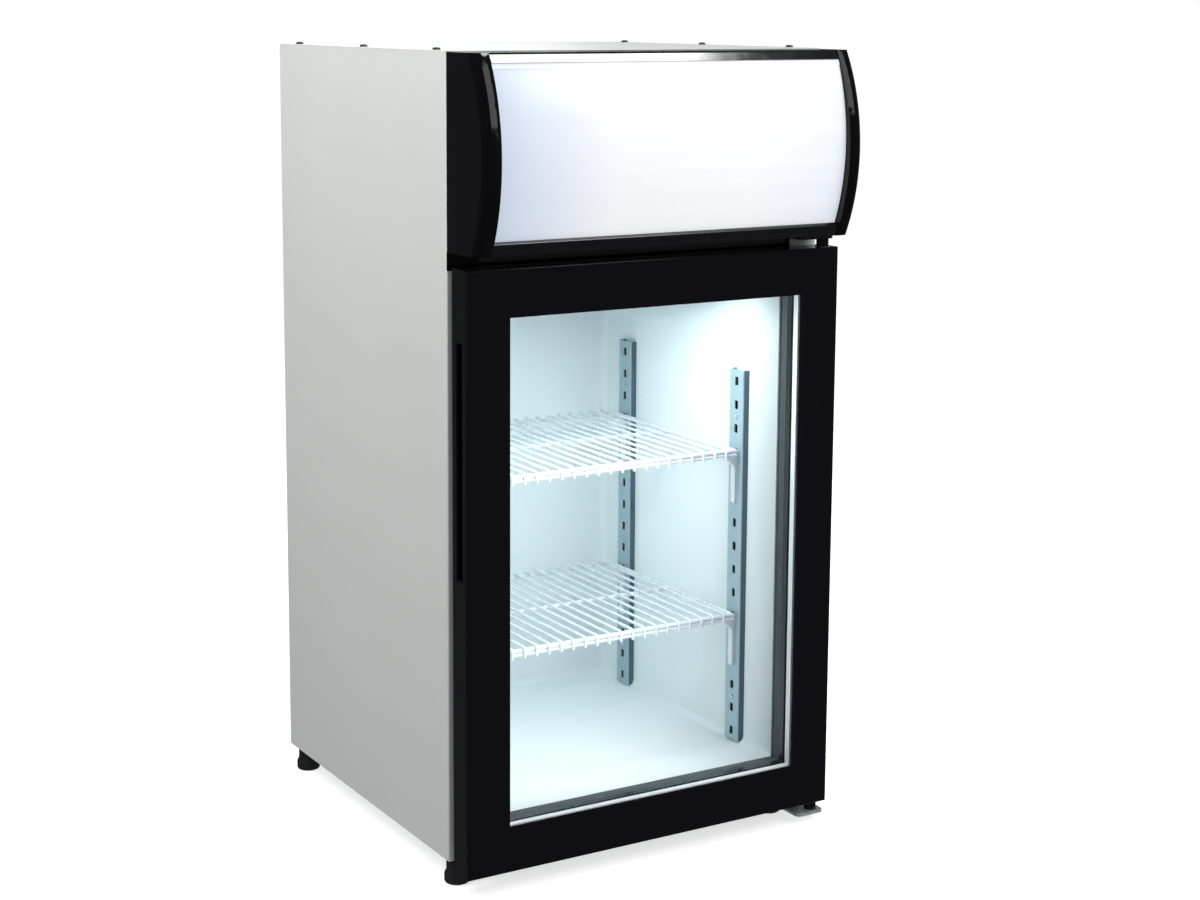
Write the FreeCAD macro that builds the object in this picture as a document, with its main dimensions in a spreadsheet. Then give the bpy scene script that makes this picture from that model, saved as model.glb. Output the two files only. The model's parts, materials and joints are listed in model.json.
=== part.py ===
"""Countertop glass door merchandiser: a small refrigerated cabinet with a lit sign canopy.

The origin is on the worktop, under the middle of the whole cabinet. +Z is up and the door faces -Y.
Positions are measured from the cabinet's front plane (from_front) and underside (from_base).
"""
import FreeCAD, Part
import math
import os
import re

import Sketcher
from FreeCAD import Placement, Rotation, Vector

doc = FreeCAD.newDocument("glass_door_merchandiser")
dims = doc.addObject("Spreadsheet::Sheet", "dims")

DRIVING = {
    # cabinet
    "width": 422,
    "depth": 385,
    "height": 772,
    "foot_height": 27,
    "gland_reach": 8,
    "sheet": 1,
    "front_flange": 32.6,
    "rear_flange": 14,
    "bead_low": 190,
    "bead_high": 380,
    "bead_tall": 14,
    "bead_inset": 60,
    "bead_round": 0.6,
    "line_hole": 7,
    "line_x": -30,
    "line_back": 318,
    "top_flange": 18,
    "bottom_flange": 8,
    "edge_radius": 1.6,
    "side_wall": 34.3,
    "back_wall": 33,
    "skin": 1.5,
    "floor_level": 31,
    "ceiling_level": 541,
    "deck_level": 576,
    "header_top": 630,
    "rail_flange": 8,
    # feet
    "foot_radius": 12.5,
    "foot_neck": 10.5,
    "foot_round": 2.5,
    "foot_recess": 5.5,
    "foot_seat": 7,
    "foot_nut": 2.6,
    "foot_nut_radius": 3.6,
    "foot_inset": 15,
    "hinge_foot_inset": 37,
    "foot_front": 11,
    "foot_rear": 370,
    # screws
    "screw_head": 3.9,
    "screw_head_high": 2.4,
    "screw_shank": 2,
    "screw_length": 9,
    "screw_clearance": 0.15,
    "small_screw_head": 2.6,
    "small_screw_shank": 1.5,
    "small_screw_hole": 1.7,
    "top_screw_inset": 10,
    "top_screw_first": 38,
    "top_screw_pitch": 158,
    # pilasters and shelf clips
    "pilaster_width": 24,
    "pilaster_deep": 8,
    "pilaster_sheet": 1.2,
    "pilaster_front": 75,
    "pilaster_rear": 296,
    "pilaster_low": 33,
    "pilaster_high": 436.5,
    "slot_wide": 5.5,
    "slot_tall": 9,
    "slot_first": 43.2,
    "slot_pitch": 25.4,
    "slot_count": 16,
    "clip_wide": 7,
    "clip_reach": 15.5,
    "clip_plate": 3,
    "clip_drop": 54,
    "clip_lip": 3,
    "clip_gusset": 15,
    "hook_play": 0.4,
    # wire shelves
    "shelf_half": 165.5,
    "shelf_front": 62,
    "shelf_rear": 316,
    "shelf_rise": 8.4,
    "shelf_gap": 0.1,
    "upper_slot": 12,
    "lower_slot": 5,
    "wire_radius": 1.5,
    "rod_radius": 2.4,
    "wire_pitch": 14.2,
    "wire_count": 22,
    "lip_drop": 12,
    "lip_bend": 3.5,
    # door
    "door_thick": 38,
    "door_drop": 6.6,
    "door_top": 575,
    "stile": 46,
    "door_edge": 1.6,
    "lip": 1.2,
    "rebate": 11.5,
    "pane": 3,
    "pane_gap": 7,
    "unit_slack": 0.1,
    "inner_frame_deep": 7.8,
    "door_back": 10,
    "liner_flange": 1.5,
    "gasket_gap": 0.3,
    "gasket_inset": 23,
    "gasket_lap": 0.8,
    "grip_low": 282,
    "grip_high": 508,
    "grip_middle": -24,
    "grip_wide": 13,
    "grip_deep": 14,
    "grip_wall": 1.4,
    # hinge pins, brackets and collars
    "hinge_inset": 12,
    "hinge_front": -27,
    "pin_radius": 4,
    "pin_clearance": 0.05,
    "pin_in_door": 16,
    "bush_radius": 8,
    "bush_deep": 18,
    "bracket_plate": 3,
    "bracket_reach": 37,
    "lower_bracket_low": -19,
    "upper_bracket_low": 583.6,
    "collar_radius": 6.2,
    "collar_gap": 0.3,
    "lower_bracket_inset": 23,
    "lower_bracket_back": 46,
    "lower_bracket_arm": 35,
    "upper_bracket_inset": 46,
    "upper_bracket_tall": 40,
    "bracket_round": 6,
    "hinge_screw_low": 16,
    "hinge_screw_high": 32,
    "base_screw_inset": 14,
    "base_screw_first": 18,
    "base_screw_second": 38,
    # sign canopy
    "canopy_bulge": 75,
    "canopy_low": 588.5,
    "canopy_high": 771,
    "canopy_middle": 675,
    "canopy_radius": 200,
    "cap_wide": 17.2,
    "cap_wall": 6,
    "cap_face": 5,
    "cap_edge": 9,
    "sign_low": 600,
    "sign_high": 763,
    "sign_bow": 68.5,
    "sign_radius": 215,
    "sign_sheet": 2,
    "canopy_fix_inset": 25,
    "canopy_fix_low": 650,
    "canopy_fix_high": 742,
    "tray_front": -7,
    "tray_reach": -47,
    "tray_lift": 4.5,
    "tray_drop": 3,
    "holder_wide": 12,
    "holder_half": 11,
    "lamp_radius": 8,
    "lamp_front": -30,
    "lamp_half": 178,
    # machine compartment
    "compressor_x": -108,
    "compressor_back": 205,
    "compressor_radius": 57,
    "compressor_high": 136,
    "grommet_high": 14,
    "grommet_radius": 10,
    "plate_half_wide": 76,
    "plate_half_deep": 52,
    "plate_thick": 3,
    "bolt_across": 66,
    "bolt_back": 40,
    "condenser_left": 6,
    "condenser_right": 196,
    "condenser_front": 338,
    "condenser_back": 372,
    "condenser_high": 158,
    "fin_pitch": 5,
    "fin_gap": 3.6,
    "condenser_fins": 36,
    "condenser_core": 14,
    "tube_radius": 3.5,
    "tube_rows": 5,
    "tube_pitch": 31.5,
    "shroud_deep": 16,
    "shroud_sheet": 1.2,
    "evaporator_fins": 38,
    "evaporator_core": 22,
    "evaporator_left": -158,
    "evaporator_right": 36,
    "evaporator_front": 246,
    "evaporator_back": 300,
    "evaporator_pitch": 22,
    "fan_x": 101,
    "fan_level": 660,
    "fan_front": 303,
    "fan_radius": 62,
    "fan_hub": 19,
    "fan_deep": 16,
    "fan_bore": 2.5,
    "blade_count": 5,
    "blade_thick": 1.4,
    "motor_radius": 24,
    "motor_deep": 38,
    "strap_half": 78,
    "strap_tall": 18,
    "strap_sheet": 3,
    # evaporator and its cover
    "cover_half": 166,
    "cover_low": 484,
    "cover_front": 92,
    "cover_knee": 240,
    "cover_lip": 513,
    "cover_wall": 2,
    "cold_fan_x": 98,
    "cold_fan_back": 290,
    "cold_fan_radius": 42,
    "cold_fan_hub": 14,
    "guard_bar": 2,
    "guard_first": 14,
    "guard_pitch": 12,
    "knob_x": 120,
    "knob_level": 527,
    "knob_radius": 11,
    "knob_deep": 11,
    "spindle_radius": 3,
    "inlet_wide": 5,
    "inlet_pitch": 10,
    "inlet_count": 22,
    "inlet_left": -150,
    # louvres, light switch and cord gland
    "louvre_long": 96,
    "louvre_tall": 5,
    "louvre_pitch": 13,
    "louvre_rows": 12,
    "louvre_gap": 8,
    "louvre_lift": 16,
    "switch_half_wide": 6.6,
    "switch_half_tall": 12,
    "bezel_rim": 1.6,
    "bezel_deep": 12,
    "switch_x": -150,
    "switch_level": 620,
    "trunnion_half": 6.2,
    "trunnion_radius": 1.5,
    "gland_x": -60,
    "gland_level": 600,
    "gland_radius": 11,
    "gland_neck": 7,
    "gland_bore": 3.5,
}

for row, (alias, value) in enumerate(DRIVING.items(), start=1):
    dims.set(f"A{row}", alias)
    dims.set(f"B{row}", str(value))
    dims.setAlias(f"B{row}", alias)
doc.recompute()

FRONT = "(canopy_bulge - depth - gland_reach) / 2"
WORD = re.compile(r"[a-z][a-z_]+")
MATHS = {"sqrt", "sin", "cos", "tan", "abs"}
NODES = []


# ---------------------------------------------------------------- expressions

def bind(text):
    """A size written with the sheet's aliases, as an expression that other objects can hold."""
    return WORD.sub(lambda w: w.group() if w.group() in MATHS else "dims." + w.group(), str(text))


def number(text):
    """The value that a size has now."""
    return float(dims.evalExpression(bind(text)))


def in_order(one, other):
    """Two places with the lower one first."""
    return tuple(sorted((one, other), key=number))


def from_front(offset):
    return f"{FRONT} + ({offset})"


def from_base(offset):
    return f"foot_height + ({offset})"


def from_side(side, inset):
    """X of a place that is inset from the cabinet's left (side -1) or right (side 1) face."""
    return f"{side} * (width / 2 - ({inset}))"


def slot_level(number_from_floor):
    return f"slot_first + slot_pitch * ({number_from_floor})"


# ---------------------------------------------------------------- sketches

def outline(points, arcs=None, closed=True):
    """A closed outline, or an open route. arcs maps a point's index to the radius of the arc from it.

    A positive radius bulges to the right of the way that the outline runs, a negative one to the left.
    """
    arcs = arcs or {}

    def draw(sketch):
        places = [(number(a), number(b)) for a, b in points]
        count = len(places)
        first = sketch.GeometryCount
        ends = []
        edges = count if closed else count - 1
        for i in range(edges):
            here = places[i]
            there = places[(i + 1) % count]
            start = Vector(*here, 0)
            stop = Vector(*there, 0)
            if i not in arcs:
                sketch.addGeometry(Part.LineSegment(start, stop), False)
                ends.append((1, 2))
                continue
            radius = number(arcs[i])
            chord = stop - start
            leftward = Vector(-chord.y, chord.x, 0).normalize() * math.copysign(1, radius)
            centre = (start + stop) * 0.5 + leftward * math.sqrt(radius**2 - chord.Length**2 / 4)
            first_end, last_end = (start, stop) if radius > 0 else (stop, start)
            angles = [math.atan2(end.y - centre.y, end.x - centre.x) for end in (first_end, last_end)]
            full = Part.Circle(centre, Vector(0, 0, 1), abs(radius))
            sketch.addGeometry(Part.ArcOfCircle(full, *angles), False)
            ends.append((1, 2) if radius > 0 else (2, 1))
        for i in range(count if closed else count - 2):
            following = (i + 1) % count
            sketch.addConstraint(Sketcher.Constraint(
                "Coincident", first + i, ends[i][1], first + following, ends[following][0]))
        for i, radius in arcs.items():
            held = sketch.addConstraint(Sketcher.Constraint("Radius", first + i, abs(number(radius))))
            sketch.setExpression(f"Constraints[{held}]", bind(f"abs({radius})"))
        for i, place in enumerate(places):
            edge, end = (i, 0) if i < edges else (i - 1, 1)
            for kind, value, text in zip(("DistanceX", "DistanceY"), place, points[i]):
                held = sketch.addConstraint(Sketcher.Constraint(
                    kind, -1, 1, first + edge, ends[edge][end], value))
                sketch.setExpression(f"Constraints[{held}]", bind(text))
    return draw


def rectangle(left, right, low, high):
    return outline([(left, low), (right, low), (right, high), (left, high)])


def circle(across, up, radius):
    def draw(sketch):
        centre = Vector(number(across), number(up), 0)
        made = sketch.addGeometry(Part.Circle(centre, Vector(0, 0, 1), number(radius)), False)
        for kind, value, text in (("DistanceX", centre.x, across), ("DistanceY", centre.y, up)):
            held = sketch.addConstraint(Sketcher.Constraint(kind, -1, 1, made, 3, value))
            sketch.setExpression(f"Constraints[{held}]", bind(text))
        held = sketch.addConstraint(Sketcher.Constraint("Radius", made, number(radius)))
        sketch.setExpression(f"Constraints[{held}]", bind(radius))
    return draw


# ---------------------------------------------------------------- PartDesign features

PLANES = {"XY": ("XY_Plane", 1), "XZ": ("XZ_Plane", -1), "YZ": ("YZ_Plane", 1)}


def new_body(name):
    body = doc.addObject("PartDesign::Body", name)
    body.Label = name
    return body


def origin_feature(body, role):
    return next(f for f in body.Origin.OriginFeatures if f.Role == role)


def add_sketch(body, plane, level, draws):
    """A sketch parallel to an origin plane, at that level along the plane's own world axis."""
    role, sign = PLANES[plane]
    sketch = body.newObject("Sketcher::SketchObject", body.Name + "_sketch")
    sketch.AttachmentSupport = [(origin_feature(body, role), "")]
    sketch.MapMode = "FlatFace"
    sketch.setExpression("AttachmentOffset.Base.z", bind(f"{sign} * ({level})"))
    for draw in draws:
        draw(sketch)
    return sketch


def extrude(body, plane, low, high, *draws):
    """A pad that fills from low to high along the axis across the plane."""
    start = high if plane == "XZ" else low
    pad = body.newObject("PartDesign::Pad", body.Name + "_pad")
    pad.Profile = add_sketch(body, plane, start, draws)
    pad.setExpression("Length", bind(f"({high}) - ({low})"))
    doc.recompute()
    body.Tip = pad
    return pad


def carve(body, plane, low, high, *draws):
    """A pocket that clears from low to high along the axis across the plane."""
    before = body.Shape.Volume
    start = low if plane == "XZ" else high
    pocket = body.newObject("PartDesign::Pocket", body.Name + "_pocket")
    pocket.Profile = add_sketch(body, plane, start, draws)
    pocket.setExpression("Length", bind(f"({high}) - ({low})"))
    doc.recompute()
    body.Tip = pocket
    if body.Shape.Volume > before - 1e-3:
        raise RuntimeError(f"{body.Name}: a pocket cuts nothing")
    return pocket


def repeat(body, feature, axis, pitch, count, axis_two=None, pitch_two=None, count_two=None):
    """Copies a feature in a row along an axis of the body, or in a grid along two."""
    pattern = body.newObject("PartDesign::LinearPattern", body.Name + "_row")
    pattern.Originals = [feature]
    pattern.Direction = (origin_feature(body, axis + "_Axis"), [""])
    pattern.Mode = "Spacing"
    pattern.setExpression("Offset", bind(pitch))
    pattern.setExpression("Occurrences", bind(count))
    if axis_two:
        pattern.Direction2 = (origin_feature(body, axis_two + "_Axis"), [""])
        pattern.Mode2 = "Spacing"
        pattern.setExpression("Offset2", bind(pitch_two))
        pattern.setExpression("Occurrences2", bind(count_two))
    doc.recompute()
    body.Tip = pattern
    return pattern


def spin(body, plane, axis, draw, kind="Revolution"):
    """A full turn of an outline about one of the body's own axes, added or taken away."""
    turn = body.newObject("PartDesign::" + kind, body.Name + "_turn")
    turn.Profile = add_sketch(body, plane, 0, [draw])
    turn.ReferenceAxis = (origin_feature(body, axis + "_Axis"), [""])
    turn.Angle = 360
    doc.recompute()
    body.Tip = turn
    return turn


def round_edges(body, radius, chosen):
    """Rounds the edges for which chosen(edge's middle, edge's direction) is true."""
    names = []
    for i, edge in enumerate(body.Shape.Edges, start=1):
        if not isinstance(edge.Curve, Part.Line):
            continue
        middle = (edge.Vertexes[0].Point + edge.Vertexes[-1].Point) * 0.5
        if chosen(middle, edge.Curve.Direction):
            names.append(f"Edge{i}")
    return dress(body, "Fillet", "Radius", radius, names)


def dress(body, kind, size_name, size, names):
    """Rounds or chamfers the named edges of the body."""
    if not names:
        raise RuntimeError(f"{body.Name}: no edge to round")
    last = body.Tip
    feature = body.newObject("PartDesign::" + kind, body.Name + "_edge")
    feature.Base = (last, names)
    feature.setExpression(size_name, bind(size))
    doc.recompute()
    body.Tip = feature
    if "Invalid" in feature.State:
        raise RuntimeError(f"{body.Name}: edges {names} can't take {size}")
    return feature


def place(thing, across, back, up, rotation=None):
    """Puts a piece that was drawn about its own origin where it belongs."""
    if rotation:
        thing.Placement = Placement(Vector(), rotation)
    thing.setExpression("Placement.Base.x", bind(across))
    thing.setExpression("Placement.Base.y", bind(back))
    thing.setExpression("Placement.Base.z", bind(up))
    return thing


TO_BACK = Rotation(Vector(1, 0, 0), -90)
TO_FRONT = Rotation(Vector(1, 0, 0), 90)
TO_RIGHT = Rotation(Vector(0, 1, 0), 90)


# ---------------------------------------------------------------- Part primitives

def box(name, across, back, up):
    """A block between pairs of limits along X, Y and Z."""
    block = doc.addObject("Part::Box", name)
    for size, (low, high) in zip(("Length", "Width", "Height"), (across, back, up)):
        block.setExpression(size, bind(f"({high}) - ({low})"))
    return place(block, across[0], back[0], up[0])


def rod(name, axis, across, back, up, radius):
    """A cylinder along X, Y or Z: the limits along its axis are a pair, the others are its centre."""
    bar = doc.addObject("Part::Cylinder", name)
    bar.setExpression("Radius", bind(radius))
    limits = {"X": across, "Y": back, "Z": up}[axis]
    bar.setExpression("Height", bind(f"({limits[1]}) - ({limits[0]})"))
    base = [limit[0] if isinstance(limit, tuple) else limit for limit in (across, back, up)]
    turn = {"X": TO_RIGHT, "Y": TO_BACK, "Z": None}[axis]
    return place(bar, *base, turn)


def join(name, parts):
    whole = doc.addObject("Part::MultiFuse", name)
    whole.Shapes = parts
    return whole


def subtract(name, base, tools):
    tool = tools[0] if len(tools) == 1 else join(name + "_tools", tools)
    rest = doc.addObject("Part::Cut", name)
    rest.Base = base
    rest.Tool = tool
    return rest


def group(name, parts):
    """Identical separate pieces that share one node."""
    together = doc.addObject("Part::Compound", name)
    together.Links = parts
    return together


def node(thing, name):
    thing.Label = name
    NODES.append((name, thing))
    return thing


def ring(name, front, back, outer, inner):
    """A rectangular frame of the door, between two insets from the door's outer edge."""
    body = new_body(name)
    extrude(body, "XZ", from_front(front), from_front(back), door_rectangle(outer))
    carve(body, "XZ", from_front(f"({front}) - 1"), from_front(f"({back}) + 1"), door_rectangle(inner))
    return body


def door_rectangle(inset):
    """The door's outline, moved in by inset on all four sides."""
    return rectangle(from_side(-1, inset), from_side(1, inset),
                     from_base(f"({inset}) - door_drop"), from_base(f"door_top - ({inset})"))


# ---------------------------------------------------------------- screws

def screw(name, side_axis, across, back, up, towards=1):
    """A pan head screw whose head sits on the given point. Its shank runs away from the head:
    towards is 1 when the shank runs to the positive end of the axis."""
    at = {"X": across, "Y": back, "Z": up}[side_axis]
    head = (f"({at}) - ({towards}) * screw_head_high", at)
    shank = (at, f"({at}) + ({towards}) * screw_length")
    limits = []
    for pair in (head, shank):
        limits.append(pair if towards > 0 else pair[::-1])
    places = {"X": across, "Y": back, "Z": up}
    pieces = []
    for label, pair, radius in (("head", limits[0], "screw_head"), ("shank", limits[1], "screw_shank")):
        places[side_axis] = pair
        pieces.append(rod(f"{name}_{label}", side_axis, places["X"], places["Y"], places["Z"], radius))
    return join(name, pieces)


HOLE = "screw_shank + screw_clearance"


# ---------------------------------------------------------------- cabinet

def top_screw_backs():
    return [from_front(f"top_screw_first + {i} * top_screw_pitch") for i in range(3)]


def side_panel(name, side):
    """Painted steel side, folded inwards at the front, rear, top and bottom."""
    body = new_body(name)
    rear = "depth - sheet"
    extrude(body, "XY", from_base("0"), from_base("height - sheet"), outline([
        (from_side(side, "0"), from_front("0")),
        (from_side(side, "0"), from_front(rear)),
        (from_side(side, "rear_flange"), from_front(rear)),
        (from_side(side, "rear_flange"), from_front(f"{rear} - sheet")),
        (from_side(side, "sheet"), from_front(f"{rear} - sheet")),
        (from_side(side, "sheet"), from_front("sheet")),
        (from_side(side, "front_flange"), from_front("sheet")),
        (from_side(side, "front_flange"), from_front("0")),
    ]))
    for low, flange in (("sheet", "bottom_flange"), ("height - 2 * sheet", "top_flange")):
        left, right = in_order(from_side(side, "sheet / 2"), from_side(side, flange))
        extrude(body, "XY", from_base(low), from_base(f"{low} + sheet"),
                rectangle(left, right, from_front("sheet / 2"), from_front("depth - 1.5 * sheet")))
    carve(body, "XY", from_base("height - 4 * sheet"), from_base("height"),
          *[circle(from_side(side, "top_screw_inset"), back, HOLE) for back in top_screw_backs()])
    front_holes = [(from_side(side, "canopy_fix_inset"), level)
                   for level in ("canopy_fix_low", "canopy_fix_high")]
    if side > 0:
        front_holes += hinge_screw_places()
    carve(body, "XZ", from_front("-1"), from_front("3 * sheet"),
          *[circle(across, from_base(level), HOLE) for across, level in front_holes])
    edge_x = number(from_side(side, "0"))
    edge_y = number(FRONT)
    round_edges(body, "edge_radius", lambda middle, way: abs(way.z) > 0.9
                and abs(middle.x - edge_x) < 0.1 and abs(middle.y - edge_y) < 0.1)
    return node(body, name)


def top_panel():
    """Lid of the cabinet, screwed down on the side panels' top flanges."""
    body = new_body("top_panel")
    extrude(body, "XY", from_base("height - sheet"), from_base("height"),
            rectangle(from_side(-1, "0.4"), from_side(1, "0.4"),
                      from_front("0.2"), from_front("depth - sheet")))
    carve(body, "XY", from_base("height - 2 * sheet"), from_base("height + sheet"),
          *[circle(from_side(side, "top_screw_inset"), back, HOLE)
            for side in (-1, 1) for back in top_screw_backs()])
    return node(body, "top_panel")


def pan_screws():
    """The identical pan head screws: six in the lid and two in each hinge bracket."""
    screws = []
    for side in (-1, 1):
        for back in top_screw_backs():
            screws.append(screw(f"pan_screw_{len(screws)}", "Z", from_side(side, "top_screw_inset"),
                                back, from_base("height"), towards=-1))
    for across, level in hinge_screw_places():
        screws.append(screw(f"pan_screw_{len(screws)}", "Y", across,
                            from_front("-bracket_plate"), from_base(level)))
    for across, back in base_hinge_screws():
        screws.append(screw(f"pan_screw_{len(screws)}", "Z", across, back,
                            from_base("-bracket_plate")))
    return node(group("pan_screws", screws), "pan_screws")


def back_panel():
    """Plain steel back of the insulated part, with two raised stiffening beads."""
    body = new_body("back_panel")
    extrude(body, "XZ", from_front("depth - sheet"), from_front("depth"),
            rectangle(from_side(-1, "sheet"), from_side(1, "sheet"),
                      from_base("sheet"), from_base("deck_level - sheet")))
    for level in ("bead_low", "bead_high"):
        extrude(body, "XZ", from_front("depth - sheet / 2"), from_front("depth + sheet"),
                rectangle(from_side(-1, "bead_inset"), from_side(1, "bead_inset"),
                          from_base(level), from_base(f"{level} + bead_tall")))
    edge_y = number(from_front("depth + sheet"))
    round_edges(body, "bead_round", lambda middle, way: abs(middle.y - edge_y) < 0.1)
    return node(body, "back_panel")


def rear_grille():
    """Louvred cover behind the condenser, with the light switch and the cord gland in it."""
    body = new_body("rear_grille")
    extrude(body, "XZ", from_front("depth - sheet"), from_front("depth"),
            rectangle(from_side(-1, "sheet"), from_side(1, "sheet"),
                      from_base("deck_level"), from_base("height - 2 * sheet")))
    for column in range(2):
        left = f"{column} * (louvre_long + louvre_gap)"
        slot = carve(body, "XZ", from_front("depth - 2 * sheet"), from_front("depth + sheet"),
                     rectangle(left, f"{left} + louvre_long", from_base("deck_level + louvre_lift"),
                               from_base("deck_level + louvre_lift + louvre_tall")))
        repeat(body, slot, "Z", "louvre_pitch", "louvre_rows")
    carve(body, "XZ", from_front("depth - 2 * sheet"), from_front("depth + sheet"),
          switch_rectangle("0"),
          circle("gland_x", from_base("gland_level"), "gland_neck"))
    return node(body, "rear_grille")


def base_pan():
    """Steel underside that carries the feet and the lower hinge."""
    body = new_body("base_pan")
    extrude(body, "XY", from_base("0"), from_base("sheet"),
            rectangle(from_side(-1, "1.2 * sheet"), from_side(1, "1.2 * sheet"),
                      from_front("1.2 * sheet"), from_front("depth - 2.2 * sheet")))
    carve(body, "XY", from_base("-1"), from_base("2 * sheet"),
          *[circle(across, back, HOLE) for across, back in foot_places()],
          *[circle(across, back, HOLE) for across, back in base_hinge_screws()])
    return node(body, "base_pan")


def front_rail(name, low, high):
    """Folded cross member between the two side panels, behind the door seal."""
    body = new_body(name)
    extrude(body, "YZ", from_side(-1, "front_flange + 0.2"), from_side(1, "front_flange + 0.2"), outline([
        (from_front("0"), from_base(low)),
        (from_front("0"), from_base(high)),
        (from_front("rail_flange"), from_base(high)),
        (from_front("rail_flange"), from_base(f"{high} - sheet")),
        (from_front("sheet"), from_base(f"{high} - sheet")),
        (from_front("sheet"), from_base(f"{low} + sheet")),
        (from_front("rail_flange"), from_base(f"{low} + sheet")),
        (from_front("rail_flange"), from_base(low)),
    ]))
    return node(body, name)


def machine_deck():
    """Steel tray over the insulation, which carries the compressor and the condenser."""
    body = new_body("machine_deck")
    extrude(body, "XY", from_base("deck_level"), from_base("deck_level + sheet"),
            rectangle(from_side(-1, "1.2 * sheet"), from_side(1, "1.2 * sheet"),
                      from_front("1.2 * sheet"), from_front("depth - 2.2 * sheet")))
    carve(body, "XY", from_base("deck_level - 1"), from_base("deck_level + 2 * sheet"),
          circle(*LINE_HOLE, "line_hole"))
    return node(body, "machine_deck")


LINE_HOLE = ("line_x", from_front("line_back"))


def inner_liner():
    """White one-piece lining of the cold space, open at the front."""
    body = new_body("inner_liner")
    outer = "side_wall - skin"
    extrude(body, "XZ", from_front("0"), from_front("depth - back_wall + skin"),
            rectangle(from_side(-1, outer), from_side(1, outer),
                      from_base("floor_level - skin"), from_base("ceiling_level + skin")))
    carve(body, "XZ", from_front("-1"), from_front("depth - back_wall"),
          rectangle(from_side(-1, "side_wall"), from_side(1, "side_wall"),
                    from_base("floor_level"), from_base("ceiling_level")))
    carve(body, "XY", from_base("ceiling_level - 1"), from_base("ceiling_level + 2 * skin"),
          circle(*LINE_HOLE, "line_hole"))
    return node(body, "inner_liner")


def insulation_foam(fittings):
    """Foamed insulation that fills the walls between the liner and the outer panels."""
    block = box("foam_block", (from_side(-1, "1.2 * sheet"), from_side(1, "1.2 * sheet")),
                (from_front("1.2 * sheet"), from_front("depth - 1.2 * sheet")),
                (from_base("2.2 * sheet"), from_base("deck_level - 0.2")))
    cavity = box("foam_cavity", (from_side(-1, "side_wall - skin"), from_side(1, "side_wall - skin")),
                 (from_front("-1"), from_front("depth - back_wall + skin")),
                 (from_base("floor_level - skin"), from_base("ceiling_level + skin")))
    folds = []
    for side in (-1, 1):
        left, right = in_order(from_side(side, "0"), from_side(side, "rear_flange + 0.2"))
        folds.append(box(f"foam_fold_{side + 1}", (left, right),
                         (from_front("depth - 2.2 * sheet"), from_front("depth")),
                         (from_base("0"), from_base("deck_level"))))
    tube_way = rod("foam_line_hole", "Z", *LINE_HOLE,
                   (from_base("ceiling_level"), from_base("deck_level + 1")), "line_hole")
    tools = [cavity, tube_way] + folds + fittings
    return node(subtract("insulation_foam", block, tools), "insulation_foam")


# ---------------------------------------------------------------- feet

def foot_places():
    """Centres of the feet. The front right one stands clear of the hinge bracket."""
    return [
        (from_side(-1, "foot_inset"), from_front("foot_front + 1.5")),
        (from_side(1, "hinge_foot_inset"), from_front("foot_front + 1.5")),
        (from_side(-1, "foot_inset"), from_front("foot_rear")),
        (from_side(1, "foot_inset"), from_front("foot_rear")),
    ]


def feet():
    """Four round black feet, each with a hollow underside for its screw."""
    pieces = []
    for across, back in foot_places():
        foot = new_body(f"foot_{len(pieces)}")
        spin(foot, "XZ", "Z", outline([
            (HOLE, "foot_seat"),
            ("foot_recess", "foot_seat"),
            ("foot_recess", "0"),
            ("foot_radius - foot_round", "0"),
            ("foot_radius", "foot_round"),
            ("foot_radius", "foot_height / 3"),
            ("foot_neck", "foot_height / 2"),
            ("foot_neck", "foot_height"),
            (HOLE, "foot_height"),
        ], {3: "foot_round"}))
        pieces.append(place(foot, across, back, "0"))
    return node(group("feet", pieces), "feet")


def foot_screws():
    """One screw up through each foot into the base pan."""
    screws = []
    for across, back in foot_places():
        name = f"foot_screw_{len(screws)}"
        top = "foot_height + sheet + foot_nut"
        head = rod(name + "_head", "Z", across, back, ("foot_seat - screw_head_high", "foot_seat"),
                   "screw_head")
        shank = rod(name + "_shank", "Z", across, back, ("foot_seat - 1", top), "screw_shank")
        nut = rod(name + "_nut", "Z", across, back, ("foot_height + sheet", top), "foot_nut_radius")
        screws.append(join(name, [head, shank, nut]))
    return node(group("foot_screws", screws), "foot_screws")


# ---------------------------------------------------------------- pilasters, clips and shelves

def pilaster_backs():
    return {"front": "pilaster_front", "rear": "pilaster_rear"}


def pilaster_screw_levels():
    """Screw holes midway between two slots, near the bottom and near the top."""
    return [slot_level("1.5"), slot_level("slot_count - 2.5")]


def pilaster_screw_places():
    return [(from_front(back), from_base(level))
            for back in pilaster_backs().values() for level in pilaster_screw_levels()]


def pilaster(name, side, back):
    """Slotted steel channel on a side wall that takes the shelf clips."""
    body = new_body(name)
    wall = from_side(side, "side_wall + 0.1")
    face = from_side(side, "side_wall + pilaster_deep")
    inner = from_side(side, "side_wall + pilaster_deep - pilaster_sheet")
    near = from_front(f"{back} - pilaster_width / 2")
    far = from_front(f"{back} + pilaster_width / 2")
    extrude(body, "XY", from_base("pilaster_low"), from_base("pilaster_high"), outline([
        (wall, near), (face, near), (face, far), (wall, far),
        (wall, f"{far} - pilaster_sheet"), (inner, f"{far} - pilaster_sheet"),
        (inner, f"{near} + pilaster_sheet"), (wall, f"{near} + pilaster_sheet"),
    ]))
    left, right = in_order(from_side(side, "side_wall + pilaster_deep + 1"),
                          from_side(side, "side_wall + pilaster_deep - 2"))
    middle = from_front(back)
    slot = carve(body, "YZ", left, right,
                 rectangle(f"{middle} - slot_wide / 2", f"{middle} + slot_wide / 2",
                           from_base("slot_first - slot_tall / 2"),
                           from_base("slot_first + slot_tall / 2")))
    repeat(body, slot, "Z", "slot_pitch", "slot_count")
    carve(body, "YZ", left, right,
          *[circle(middle, from_base(level), "small_screw_hole") for level in pilaster_screw_levels()])
    return body


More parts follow.
